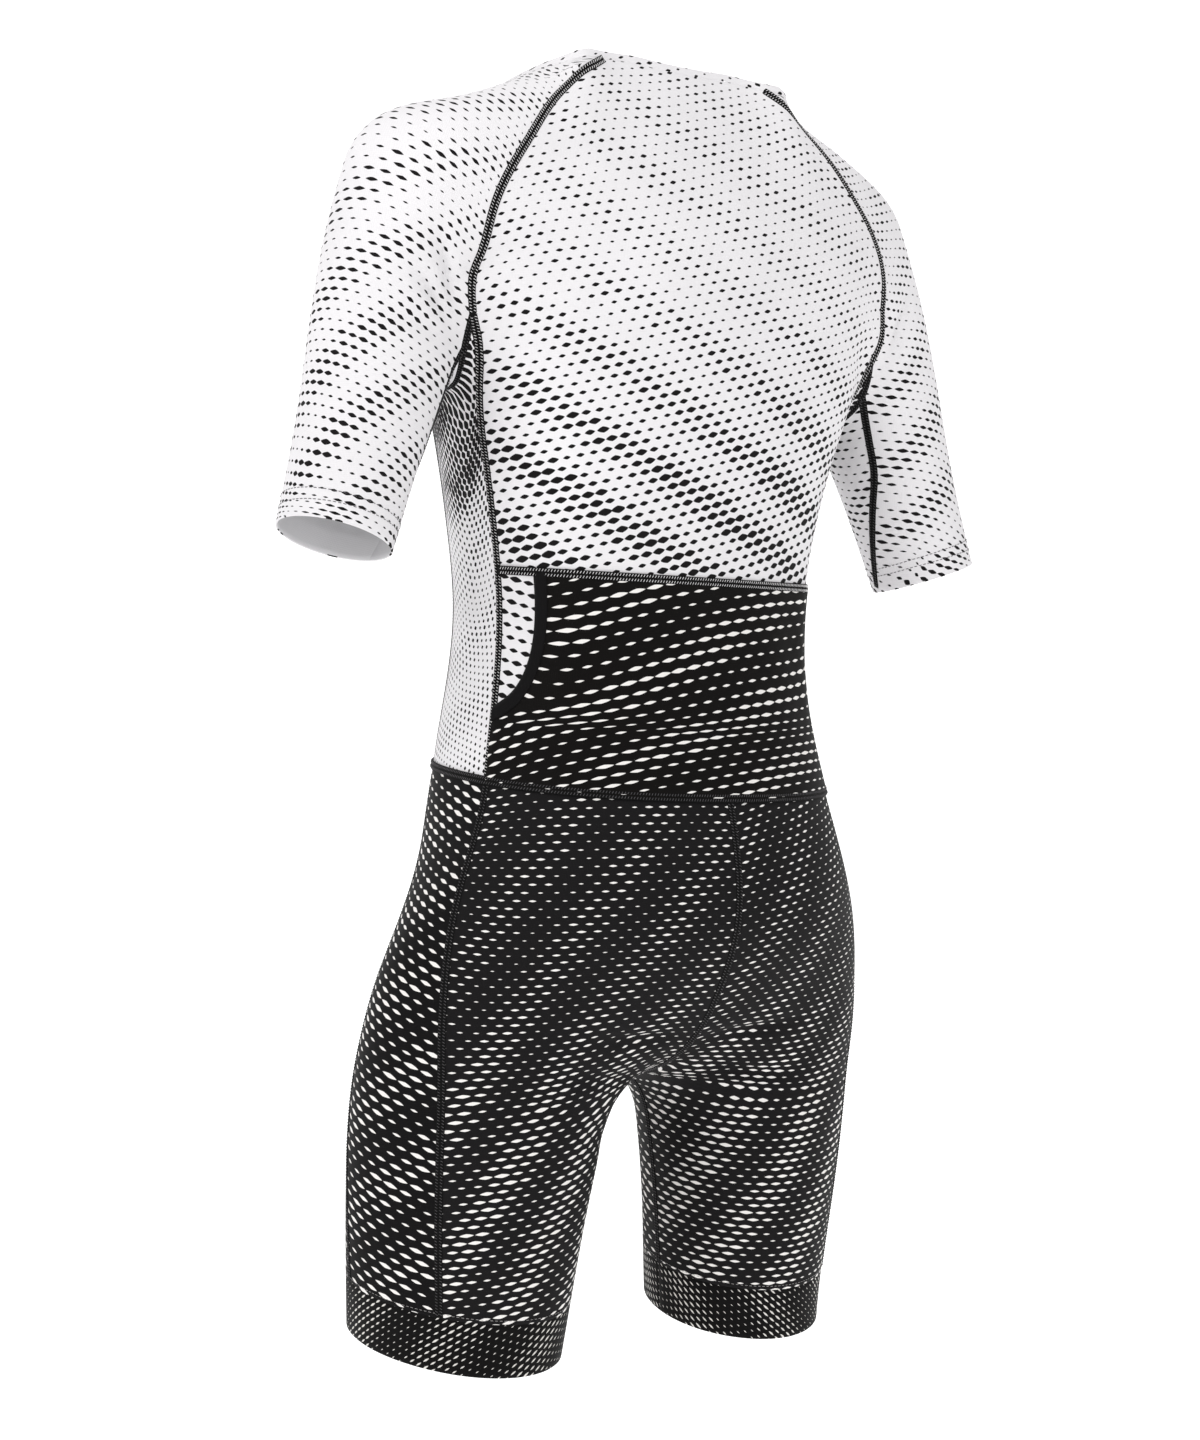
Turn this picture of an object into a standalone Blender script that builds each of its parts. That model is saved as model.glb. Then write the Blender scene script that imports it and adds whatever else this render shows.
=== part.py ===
"""A short-sleeved cycling skinsuit, hollow and held in its worn form.

Metres, +Z up. The front faces -Y and the wearer's left is +X. The origin is where the shoulders
carry the suit: on the centre line, level with the neck seam at the shoulders.

Every panel is a wall of cloth on one smooth body form. Its edges are the real seams, which are
worked out first: the panels on both sides of a seam share its points, and each is drawn back by
half the gap between them.
"""

import math

import bmesh
import bpy
import numpy as np

# Cloth and the gap at every seam
CLOTH = 0.0012
HEM_CLOTH = 0.0018
GRIPPER_CLOTH = 0.0016
COLLAR_CLOTH = 0.0016
BINDING_CLOTH = 0.0017
SEAM_GAP = 0.0003

# Heights of the seams that run round the suit, and what each climbs for a metre backwards
ARMHOLE_HEIGHT = -0.197
POCKET_SEAM_HEIGHT = -0.367
WAIST_HEIGHT, WAIST_CLIMB = -0.513, -0.10
BAND_SEAM_HEIGHT, BAND_SEAM_CLIMB = -0.884, -0.18
HEM_HEIGHT = -0.922

COLLAR_HEIGHT = 0.006
SLEEVE_REACH = 0.265
SLEEVE_HEM = 0.019
ZIP_WIDTH = 0.008
ZIP_INNER, ZIP_OUTER, ZIP_RIDGE = 0.0013, 0.0006, 0.0005

# Slider and pull: sizes along the zip, across it and out from it
SLIDER_SIZE = (0.0110, 0.0090, 0.0022)
SLIDER_LIFT = 0.0012
SLIDER_BELOW_TOP = 0.010
BAIL_SIZE = (0.0060, 0.0014, 0.0029)
BAIL_WINDOW = (0.0040, 0.0020)
PULL_SIZE = (0.0240, 0.0052, 0.0012)
PULL_EYE = (0.0046, 0.0026)
PULL_BAR = 0.0012
PULL_PIN_UP = 0.0012
PULL_PLAY = 0.0004
METAL_BEVEL = 0.0003

# The body form. Torso sections by height: half width, back and front, and where it is widest
TORSO = (
    ("height", "half_width", "back", "front", "widest"),
    (0.117, 0.051, 0.042, -0.051, -0.002),
    (0.049, 0.061, 0.040, -0.049, 0.006),
    (0.021, 0.068, 0.044, -0.053, 0.014),
    (-0.008, 0.101, 0.057, -0.065, 0.024),
    (-0.037, 0.157, 0.0735, -0.079, 0.033),
    (-0.076, 0.183, 0.091, -0.092, 0.037),
    (-0.124, 0.192, 0.108, -0.104, 0.036),
    (-0.182, 0.181, 0.116, -0.111, 0.030),
    (-0.222, 0.1745, 0.1145, -0.111, 0.026),
    (-0.259, 0.163, 0.112, -0.110, 0.022),
    (-0.337, 0.1435, 0.105, -0.106, 0.015),
    (-0.394, 0.135, 0.104, -0.105, 0.012),
    (-0.452, 0.139, 0.110, -0.107, 0.010),
    (-0.501, 0.149, 0.1225, -0.108, 0.012),
    (-0.558, 0.161, 0.138, -0.105, 0.018),
    (-0.616, 0.173, 0.142, -0.100, 0.0235),
    (-0.674, 0.174, 0.117, -0.093, 0.0235),
    (-0.752, 0.1565, 0.066, -0.073, 0.0215),
)
TORSO_FLOOR = -0.7274
# Thigh sections: ovals about a centre line, each turned by some degrees
LEG = (
    ("height", "across", "back", "half_width", "half_depth", "turn"),
    (-0.520, 0.061, 0.001, 0.061, 0.020, 60),
    (-0.597, 0.091, 0.0055, 0.081, 0.051, 30),
    (-0.674, 0.1105, 0.0055, 0.092, 0.074, 0),
    (-0.752, 0.1205, 0.002, 0.093, 0.078, -24),
    (-0.829, 0.126, -0.0035, 0.087, 0.074, -42),
    (-0.896, 0.1275, -0.009, 0.082, 0.069, -54),
    (-0.993, 0.1315, -0.013, 0.0745, 0.063, -63),
)
# The upper arm: a round bar from the shoulder, by the distance along it
SHOULDER = np.array((0.1897, 0.0022, -0.1034))
ARM_DIRECTION = np.array((0.3216, 0.114, -1.0))
ARM = (
    ("along", "radius"),
    (0.000, 0.0568),
    (0.048, 0.0571),
    (0.116, 0.0524),
    (0.193, 0.0445),
    (0.270, 0.0405),
    (0.328, 0.0385),
)
TORSO_POWER = 2.25
LEG_POWER = 2.05
HIP_BLEND, CROTCH_BLEND, FLOOR_BLEND = 0.048, 0.0116, 0.058
# The arm blends into the torso more softly over the shoulder than in the armpit
ARM_BLEND_HEIGHTS, ARM_BLENDS = (-0.235, -0.150), (0.026, 0.048)

# Seams. A bearing is in degrees from straight back, growing towards the wearer's left.
NECK = (
    ("bearing", "height"),
    (0, -0.004),
    (30, -0.003),
    (53, -0.004),
    (70, -0.012),
    (90, -0.018),
    (120, -0.028),
    (150, -0.042),
    (180, -0.050),
)
NECK_TO_RAGLAN = (53, 112)
RAGLAN_BACK = (
    ("across", "back", "height"),
    (0.119, 0.064, -0.038),
    (0.146, 0.072, -0.071),
    (0.166, 0.0765, -0.099),
    (0.178, 0.076, -0.126),
    (0.184, 0.0745, -0.153),
    (0.188, 0.070, -0.176),
)
RAGLAN_FRONT = (
    ("across", "back", "height"),
    (0.112, -0.066, -0.050),
    (0.138, -0.076, -0.085),
    (0.158, -0.076, -0.120),
    (0.170, -0.062, -0.155),
)
ARMHOLE = (
    ("across", "back", "height"),
    (0.183, 0.046, -0.223),
    (0.180, 0.010, -0.235),
    (0.178, -0.020, -0.224),
)
# Bearings round the arm where lines down the sleeve pass the armpit's level and reach its end
SLEEVE_LINES = (
    ("at_armpit", "at_end"),
    (-59, -108),
    (-28, -58),
    (85, 80),
    (105, 108),
    (205, 200),
    (301, 252),
)
SHOULDER_HEART = np.array((0.200, 0.012, -0.195))
ARMPIT_REACH = 0.175
SIDE_SEAMS = (
    ("height", "side_back", "side_front"),
    (ARMHOLE_HEIGHT, 71.4, 104),
    (-0.217, 72.3, 105),
    (-0.252, 75.5, 107),
    (-0.307, 77, 111),
    (-0.425, 77, 114),
    (WAIST_HEIGHT, 74, 116),
)
# Shorts seams by bearing round the thigh; their upper ends are the waist seams and the crotch
SHORT_SEAMS = (
    ("height", "side_back", "side_front", "inseam"),
    (-0.620, 61, 122, 270),
    (-0.738, 54, 118, 270),
    (-0.809, 50, 115, 270),
    (BAND_SEAM_HEIGHT, 45, 112, 272),
)
SHORT_SEAM_EASE = 0.03
RISE_CENTRE = np.array((0.0, 0.0, -0.600))
# The pocket mouth, from the top seam down to the side seam: both edges of its binding
MOUTH_OUTER = (
    ("in", "down"),
    (0.030, 0.000),
    (0.031, 0.042),
    (0.026, 0.068),
    (0.014, 0.088),
    (0.000, 0.098),
)
MOUTH_INNER = (
    ("in", "down"),
    (0.0395, 0.000),
    (0.0405, 0.044),
    (0.034, 0.074),
    (0.020, 0.096),
    (0.000, 0.109),
)

# Cells along each stretch of seam, which the panels on both sides of it share
ACROSS_BACK, ACROSS_FRONT, ACROSS_SHOULDER, ACROSS_SIDE = 16, 8, 3, 6
BEHIND_SLEEVE_SEAM = 1
DOWN_RAGLAN, DOWN_UPPER, DOWN_LOWER = 9, 8, 8
DOWN_SLEEVE, DOWN_SLEEVE_HEM = 10, 1
DOWN_RISE, DOWN_INSEAM, DOWN_BAND, UP_COLLAR, DOWN_ZIP = 12, 8, 2, 1, 24
EDGE_POINTS = 161
EASING_ROUNDS = 8

# The pocket mouths' cutters: points along each, how far past the ends, past the side, and in depth
MOUTH_POINTS, MOUTH_RUN, MOUTH_BEYOND = 8, 0.02, 2.0
WEDGE_RADII = (0.05, 0.25)

# Colour, roughness and metallic value of each material
LOOKS = {
    "white_knit": ((0.84, 0.83, 0.84), 0.75, 0.0),
    "black_knit": ((0.022, 0.020, 0.020), 0.70, 0.0),
    "black_tape": ((0.014, 0.014, 0.014), 0.60, 0.0),
    "black_metal": ((0.030, 0.030, 0.030), 0.35, 1.0),
}


# ---------------------------------------------------------------- smooth curves


class Cubic:
    """A natural cubic through values at rising places, held at its ends."""

    def __init__(self, at, values):
        self.at = np.asarray(at, float)
        self.values = np.asarray(values, float).reshape(len(self.at), -1)
        count = len(self.at)
        step = np.diff(self.at)
        slope = np.diff(self.values, axis=0) / step[:, None]
        matrix = np.eye(count)
        right = np.zeros_like(self.values)
        for i in range(1, count - 1):
            matrix[i, i - 1 : i + 2] = step[i - 1], 2 * (step[i - 1] + step[i]), step[i]
            right[i] = 6 * (slope[i] - slope[i - 1])
        self.bend = np.linalg.solve(matrix, right)

    def __call__(self, place):
        place = np.clip(np.asarray(place, float), self.at[0], self.at[-1])
        i = np.clip(np.searchsorted(self.at, place) - 1, 0, len(self.at) - 2)
        step = (self.at[i + 1] - self.at[i])[..., None]
        after = (place - self.at[i])[..., None]
        before = step - after
        low, high = self.bend[i], self.bend[i + 1]
        value = (low * before**3 + high * after**3) / (6 * step)
        value += (self.values[i] / step - low * step / 6) * before
        value += (self.values[i + 1] / step - high * step / 6) * after
        return value[..., 0] if self.values.shape[1] == 1 else value


def curves(table):
    """A curve over a table's first column for each of its other columns."""
    names, *rows = table
    rows = np.array(sorted(rows), float)
    return {name: Cubic(rows[:, 0], rows[:, i]) for i, name in enumerate(names) if i}


def spread(points, count):
    """Points spaced evenly along a polyline."""
    points = np.asarray(points, float)
    run = np.concatenate(([0.0], np.cumsum(np.linalg.norm(np.diff(points, axis=0), axis=1))))
    wanted = np.linspace(0, run[-1], count)
    return np.stack([np.interp(wanted, run, points[:, i]) for i in range(points.shape[1])], axis=1)


def smooth_run(points, count):
    """Evenly spaced points along a smooth curve through a few."""
    points = np.asarray(points, float)
    run = np.concatenate(([0.0], np.cumsum(np.linalg.norm(np.diff(points, axis=0), axis=1))))
    fine = Cubic(run, points)(np.linspace(0, run[-1], 4 * count))
    return spread(fine, count)


# ---------------------------------------------------------------- the body form

TORSO_CURVES = curves(TORSO)
LEG_CURVES = curves(LEG)
ARM_CURVES = curves(ARM)
ARM_UNIT = ARM_DIRECTION / np.linalg.norm(ARM_DIRECTION)


def blend(first, second, reach):
    """The smaller of two distances, rounded where they are about equal."""
    share = np.maximum(reach - np.abs(first - second), 0) / reach
    return np.minimum(first, second) - share**2 * reach / 4


def oval(across, deep, half_width, half_depth, power):
    """About the distance outside an oval."""
    size = (np.abs(across) / half_width) ** power + (np.abs(deep) / half_depth) ** power
    return np.hypot(across, deep) * (1 - np.maximum(size, 1e-4) ** (-1 / power))


def torso_distance(points):
    x, y, z = np.moveaxis(points, -1, 0)
    width, back, front, side = [curve(z) for curve in TORSO_CURVES.values()]
    deep = y - side
    depth = np.where(deep > 0, back - side, side - front)
    return -blend(-oval(x, deep, width, depth, TORSO_POWER), z - TORSO_FLOOR, FLOOR_BLEND)


def leg_distance(points, side):
    x, y, z = np.moveaxis(points, -1, 0)
    across, back, width, depth, turn = [curve(z) for curve in LEG_CURVES.values()]
    x = side * x - across
    y = y - back
    c, s = np.cos(np.radians(turn)), np.sin(np.radians(turn))
    return oval(x * c + y * s, y * c - x * s, width, depth, LEG_POWER)


def arm_distance(points, side):
    from_shoulder = points * (side, 1, 1) - SHOULDER
    along = np.clip(from_shoulder @ ARM_UNIT, 0, 0.40)
    off = from_shoulder - along[..., None] * ARM_UNIT
    return np.linalg.norm(off, axis=-1) - ARM_CURVES["radius"](along)


def distance(points):
    """About how far each point is outside the body form."""
    legs = blend(leg_distance(points, 1), leg_distance(points, -1), CROTCH_BLEND)
    body = blend(torso_distance(points), legs, HIP_BLEND)
    arm_blend = np.interp(points[..., 2], ARM_BLEND_HEIGHTS, ARM_BLENDS)
    for side in (1, -1):
        body = blend(body, arm_distance(points, side), arm_blend)
    return body


def slope(points, probe=1e-4):
    moves = probe * np.eye(3)
    rises = [distance(points + move) - distance(points - move) for move in moves]
    return np.stack(rises, axis=-1) / (2 * probe)


def unit(vectors):
    return vectors / np.linalg.norm(vectors, axis=-1, keepdims=True)


def on_form(points, rounds=9, longest=0.02):
    """The points drawn straight onto the body form."""
    points = np.array(points, float)
    for _ in range(rounds):
        way = slope(points)
        step = way * (distance(points) / np.maximum((way**2).sum(-1), 0.05))[..., None]
        length = np.linalg.norm(step, axis=-1, keepdims=True)
        points -= step * np.minimum(1, longest / np.maximum(length, 1e-12))
    return points


def outwards(points):
    return unit(slope(points))


def reach(origins, directions, rounds=60, first=0.02):
    """Where rays from inside the form first leave it."""
    directions = unit(np.asarray(directions, float))
    run = np.full(directions.shape[:-1], first)
    for _ in range(rounds):
        run -= distance(origins + directions * run[..., None])
    return origins + directions * run[..., None]


def compass(bearings, climb=0.0):
    """Directions for bearings in a level that climbs towards the back."""
    angle = np.radians(bearings)
    return np.stack((np.sin(angle), np.cos(angle), climb * np.cos(angle)), axis=-1)


# ---------------------------------------------------------------- seam lines


def torso_climb(heights):
    """Levels climb more and more like the waist seam from the armholes down to it."""
    share = (heights - ARMHOLE_HEIGHT) / (WAIST_HEIGHT - ARMHOLE_HEIGHT)
    return WAIST_CLIMB * np.clip(share, 0, 1)


def on_axis(across, back, heights):
    heights = np.asarray(heights, float)
    return np.stack((across + 0 * heights, back + 0 * heights, heights), axis=-1)


def torso_points(bearings, heights):
    """Points round the torso in its levels."""
    bearings, heights = np.broadcast_arrays(np.asarray(bearings, float), heights)
    return reach(on_axis(0, 0, heights), compass(bearings, torso_climb(heights)))


def neck_points(bearings, raised=0.0):
    bearings = np.asarray(bearings, float)
    heights = curves(NECK)["height"](np.abs(bearings)) + raised
    return reach(on_axis(0, 0, heights), compass(bearings))


def centre_front(across, heights):
    """A vertical line down the front, that far from the centre."""
    ahead = np.array((0.0, -1.0, 0.0)) + 0 * on_axis(0, 0, heights)
    return reach(on_axis(across, 0, heights), ahead)


LEG_TOP = WAIST_HEIGHT + WAIST_CLIMB * float(LEG_CURVES["back"](WAIST_HEIGHT))


def leg_level(heights):
    """The middle of the thigh at some heights, and how the level climbs there."""
    heights = np.asarray(heights, float)
    share = np.clip((heights - LEG_TOP) / (BAND_SEAM_HEIGHT - LEG_TOP), 0, 1)
    climb = WAIST_CLIMB + share * (BAND_SEAM_CLIMB - WAIST_CLIMB)
    return on_axis(LEG_CURVES["across"](heights), LEG_CURVES["back"](heights), heights), climb


def leg_points(bearings, heights):
    bearings, heights = np.broadcast_arrays(np.asarray(bearings, float), heights)
    middle, climb = leg_level(heights)
    return reach(middle, compass(bearings, climb))


def leg_bearing(point, height):
    across, back = (point - leg_level(height)[0])[:2]
    return math.degrees(math.atan2(across, back))


def leg_seam(name, first_point, first_height, count):
    """A seam down the thigh from a point on its first level to the band, evenly by height."""
    names, *rows = SHORT_SEAMS
    lower = [row for row in rows if row[0] < first_height - SHORT_SEAM_EASE]
    rows = [(row[0], row[names.index(name)]) for row in lower]
    start = leg_bearing(first_point, first_height)
    start += 360 * round((rows[0][1] - start) / 360)
    bearing = curves((("height", "bearing"), (first_height, start), *rows))["bearing"]
    heights = np.linspace(first_height, BAND_SEAM_HEIGHT, count)
    points = leg_points(bearing(heights), heights)
    points[0] = first_point
    return points


def rise_seam(waist_point):
    """The centre seam of the shorts from the waist seam down to the crotch."""
    start = math.atan2(waist_point[2] - RISE_CENTRE[2], abs(waist_point[1]))
    angle = np.linspace(start, -math.pi / 2, EDGE_POINTS)
    side = math.copysign(1, waist_point[1])
    ways = np.stack((0 * angle, side * np.cos(angle), np.sin(angle)), axis=-1)
    return spread(reach(RISE_CENTRE + 0 * ways, ways), EDGE_POINTS)


def crotch_height(crotch):
    """The height of the thigh level that the crotch lies in."""
    heights = np.linspace(LEG_TOP, BAND_SEAM_HEIGHT, EDGE_POINTS)
    middle, climb = leg_level(heights)
    above = crotch[2] - middle[:, 2] - climb * (crotch[1] - middle[:, 1])
    return float(np.interp(0, above, heights))


def seam_through(first, table, last):
    """A smooth seam from one point to another through a table's points, laid on the form."""
    inner = [np.array(row, float) for row in table[1:]]
    return spread(on_form(smooth_run([first, *inner, last], EDGE_POINTS)), EDGE_POINTS)


def arm_points(bearings, along):
    """Round the arm, square to it, that far down from the shoulder."""
    angle, along = np.broadcast_arrays(np.radians(bearings), along)
    back = unit(np.array((0.0, 1.0, 0.0)) - ARM_UNIT[1] * ARM_UNIT)
    outside = np.cross(ARM_UNIT, back)
    outside = outside * math.copysign(1, outside[0])
    middle = SHOULDER + along[..., None] * ARM_UNIT
    return reach(middle, np.cos(angle)[..., None] * back + np.sin(angle)[..., None] * outside)


# ---------------------------------------------------------------- panels


class Axis:
    """Bearing round a line, distance along it, and distance from it."""

    def __init__(self, start, end, facing):
        self.start = np.asarray(start, float)
        self.along = unit(np.asarray(end, float) - self.start)
        facing = np.asarray(facing, float)
        self.facing = unit(facing - (facing @ self.along) * self.along)
        self.quarter = np.cross(self.along, self.facing)

    def read(self, points):
        off = points - self.start
        front, side = off @ self.facing, off @ self.quarter
        return np.stack((np.arctan2(side, front), off @ self.along, np.hypot(front, side)), axis=-1)

    def place(self, readings):
        bearing, along, radius = np.moveaxis(readings, -1, 0)
        points = self.start + along[..., None] * self.along
        points = points + (radius * np.cos(bearing))[..., None] * self.facing
        return points + (radius * np.sin(bearing))[..., None] * self.quarter


class Line:
    """A seam line: points by their share of the way along it."""

    def __init__(self, points, places=None):
        self.points = np.asarray(points, float)
        self.places = np.linspace(0, 1, len(self.points)) if places is None else places

    def at(self, share):
        columns = [np.interp(share, self.places, column) for column in self.points.T]
        return np.stack(columns, axis=-1)

    def part(self, start, end):
        return Line(self.at(np.linspace(start, end, EDGE_POINTS)))


def joined(knots, *lines):
    """One line of several, each taking the share between two knots."""
    stretches = zip(knots, knots[1:], lines)
    places = [start + (end - start) * line.places for start, end, line in stretches]
    points = [line.points for line in lines]
    return Line(np.concatenate(points), np.concatenate(places))


class Panel:
    """Cloth on the form between four seam lines. Top and bottom run one way, the sides run down.

    Its points are drawn straight onto the form or, under the arm, met by rays from the axis.
    """

    def __init__(self, top, bottom, left, right, axis, rays=False):
        self.axis, self.rays = axis, rays
        self.top = self.unrolled(top, None)
        self.left = self.unrolled(left, self.top.points[0])
        self.right = self.unrolled(right, self.top.points[-1])
        self.bottom = self.unrolled(bottom, self.left.points[-1])

    def unrolled(self, line, start):
        readings = self.axis.read(line.points)
        readings[:, 0] = np.unwrap(readings[:, 0])
        if start is not None:
            turns = (start[0] - readings[0, 0]) / (2 * math.pi)
            readings[:, 0] += 2 * math.pi * round(turns)
        return Line(readings, line.places)

    def at(self, across, down):
        """Points at shares of the way across and down, both arrays of one shape."""
        u, v = across[..., None], down[..., None]
        top, bottom = self.top.points, self.bottom.points
        flat = (1 - v) * self.top.at(across) + v * self.bottom.at(across)
        flat += (1 - u) * self.left.at(down) + u * self.right.at(down)
        corners = (1 - v) * ((1 - u) * top[0] + u * top[-1])
        corners += v * ((1 - u) * bottom[0] + u * bottom[-1])
        readings = flat - corners
        guess = self.axis.place(readings)
        if not self.rays:
            return on_form(guess)
        foot = self.axis.place(readings * (1, 1, 0))
        return np.where(v > 0, reach(foot, guess - foot), guess)

    def grid(self, across, down):
        return self.at(*np.meshgrid(across, down))


def steps(knots, counts):
    """Shares from the first knot to the last, with that many even cells between each two."""
    parts = [np.linspace(a, b, n + 1)[1:] for a, b, n in zip(knots, knots[1:], counts)]
    return np.concatenate([[knots[0]], *parts])


def mirrored(grid):
    return grid[:, ::-1] * (-1.0, 1.0, 1.0)


def other_side(line):
    return Line(line.points * (-1.0, 1.0, 1.0), line.places)


def backwards(line):
    return Line(line.points[::-1], 1 - line.places[::-1])


def drawn_in(grid, normals, edges):
    """The grid with the named edges moved in along the cloth by half a seam gap."""
    moves = np.zeros_like(grid)
    lines = {"top": (0, 1), "bottom": (-1, -2), "left": (0, 1), "right": (-1, -2)}
    for edge in edges:
        sideways = edge in ("left", "right")
        rows = np.swapaxes(grid, 0, 1) if sideways else grid
        normal = np.swapaxes(normals, 0, 1) if sideways else normals
        outer, inner = lines[edge]
        way = unit(np.cross(normal[outer], unit(np.gradient(rows[outer], axis=0))))
        way *= np.sign(np.einsum("ij,ij->i", way, rows[inner] - rows[outer]))[:, None]
        target = np.swapaxes(moves, 0, 1) if sideways else moves
        overlap = np.einsum("ij,ij->i", target[outer], way) / (SEAM_GAP / 2)
        target[outer] += way * (SEAM_GAP / 2) * (1 - overlap)[:, None]
    return grid + moves


MATERIALS = {}


def material(name):
    if name not in MATERIALS:
        made = bpy.data.materials.new(name)
        made.use_nodes = True
        shader = made.node_tree.nodes["Principled BSDF"]
        colour, roughness, metallic = LOOKS[name]
        shader.inputs["Base Color"].default_value = (*colour, 1)
        shader.inputs["Roughness"].default_value = roughness
        shader.inputs["Metallic"].default_value = metallic
        made.diffuse_color = (*colour, 1)
        MATERIALS[name] = made
    return MATERIALS[name]


def finish(name, mesh, look, crease=50):
    """An object from a bmesh, with its faces turned out and shaded smooth between creases."""
    bmesh.ops.recalc_face_normals(mesh, faces=mesh.faces)
    data = bpy.data.meshes.new(name)
    mesh.to_mesh(data)
    mesh.free()
    data.shade_smooth()
    data.set_sharp_from_angle(angle=math.radians(crease))
    data.materials.append(material(look))
    made = bpy.data.objects.new(name, data)
    bpy.context.scene.collection.objects.link(made)
    return made


ALL_EDGES = ("top", "bottom", "left", "right")


def between(name, outer, inner, look, tube=False):
    """A closed solid between two grids of points. Each cell is split along its shorter diagonal."""
    rows, columns = outer.shape[:2]
    mesh = bmesh.new()
    layers = [[[mesh.verts.new(p) for p in row] for row in layer] for layer in (outer, inner)]
    last = columns if tube else columns - 1
    for i in range(rows - 1):
        for j in range(last):
            k = (j + 1) % columns
            falling = np.linalg.norm(outer[i, j] - outer[i + 1, k])
            rising = np.linalg.norm(outer[i, k] - outer[i + 1, j])
            corners = [(i, j), (i, k), (i + 1, k), (i + 1, j)]
            if rising < falling - 1e-7:
                corners = corners[1:] + corners[:1]
            for verts in layers:
                first, second, third, fourth = [verts[m][n] for m, n in corners]
                mesh.faces.new((first, second, third))
                mesh.faces.new((first, third, fourth))
    rims = [[(i, j) for j in range(columns + tube)] for i in (0, rows - 1)]
    if not tube:
        rims += [[(i, j) for i in range(rows)] for j in (0, columns - 1)]
    front, back = layers
    for rim in rims:
        for (i, j), (k, m) in zip(rim, rim[1:]):
            j, m = j % columns, m % columns
            mesh.faces.new((front[i][j], front[k][m], back[k][m], back[i][j]))
    return finish(name, mesh, look)


def wall(name, grid, look, edges=ALL_EDGES, thickness=CLOTH, lift=0.0, tube=False):
    """A closed wall of cloth whose outer face lies on the grid, lifted off the form by lift.

    A tube's last column repeats its first. The named edges are seams and keep half a gap.
    """
    normals = outwards(grid)
    flat = drawn_in(grid, normals, edges)
    deep = np.broadcast_to(np.asarray(thickness, float), grid.shape[:2])[..., None]
    outer = flat + normals * lift
    inner = outer - normals * deep
    if tube:
        outer, inner = outer[:, :-1], inner[:, :-1]
    return between(name, outer, inner, look, tube)


# ---------------------------------------------------------------- the suit's seams


def torso_seams():
    """Seams of the left half above the waist, each running down or from back to front."""
    heights = np.linspace(ARMHOLE_HEIGHT, WAIST_HEIGHT, EDGE_POINTS)
    bearings = curves(SIDE_SEAMS)
    back, front = [torso_points(bearings[name](heights), heights) for name in bearings]
    neck_back, neck_front = neck_points(NECK_TO_RAGLAN)
    half_zip = ZIP_WIDTH / 2
    zip_top = float(curves(NECK)["height"](180))
    zip_bottom = centre_front(half_zip, [WAIST_HEIGHT])[0]
    zip_heights = np.linspace(zip_top, WAIST_HEIGHT + WAIST_CLIMB * zip_bottom[1], EDGE_POINTS)
    zip_edge = centre_front(half_zip, zip_heights)
    waist = {
        "waist_back": np.linspace(0, SIDE_SEAMS[-1][1], EDGE_POINTS),
        "waist_side": np.linspace(SIDE_SEAMS[-1][1], SIDE_SEAMS[-1][2], EDGE_POINTS),
        "waist_front": np.linspace(SIDE_SEAMS[-1][2], 180, EDGE_POINTS),
    }
    neck = {
        "neck_back": np.linspace(0, NECK_TO_RAGLAN[0], EDGE_POINTS),
        "neck_shoulder": np.linspace(*NECK_TO_RAGLAN, EDGE_POINTS),
        "neck_front": np.linspace(NECK_TO_RAGLAN[1], 180, EDGE_POINTS),
    }
    seams = {name: torso_points(along, WAIST_HEIGHT) for name, along in waist.items()}
    seams.update({name: neck_points(along) for name, along in neck.items()})
    for name, end in (("waist_front", zip_edge[-1]), ("neck_front", zip_edge[0])):
        line = seams[name]
        line = np.concatenate([line[line[:, 0] > half_zip], [end]])
        seams[name] = spread(line, EDGE_POINTS)
    seams["side_back"], seams["side_front"] = back, front
    seams["raglan_back"] = seam_through(neck_back, RAGLAN_BACK, back[0])
    seams["raglan_front"] = seam_through(neck_front, RAGLAN_FRONT, front[0])
    seams["armhole"] = seam_through(back[0], ARMHOLE, front[0])
    seams["zip_edge"] = zip_edge
    seams["waist_back"] = spread(seams["waist_back"], EDGE_POINTS)
    seams["waist_side"] = spread(seams["waist_side"], EDGE_POINTS)
    return {name: Line(points) for name, points in seams.items()}


def pocket_seam_share():
    return (POCKET_SEAM_HEIGHT - ARMHOLE_HEIGHT) / (WAIST_HEIGHT - ARMHOLE_HEIGHT)


def both_sides(line):
    """A line from the centre back outwards, made to run from the wearer's right to the left."""
    return joined((0, 0.5, 1), backwards(other_side(line)), line)


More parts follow.
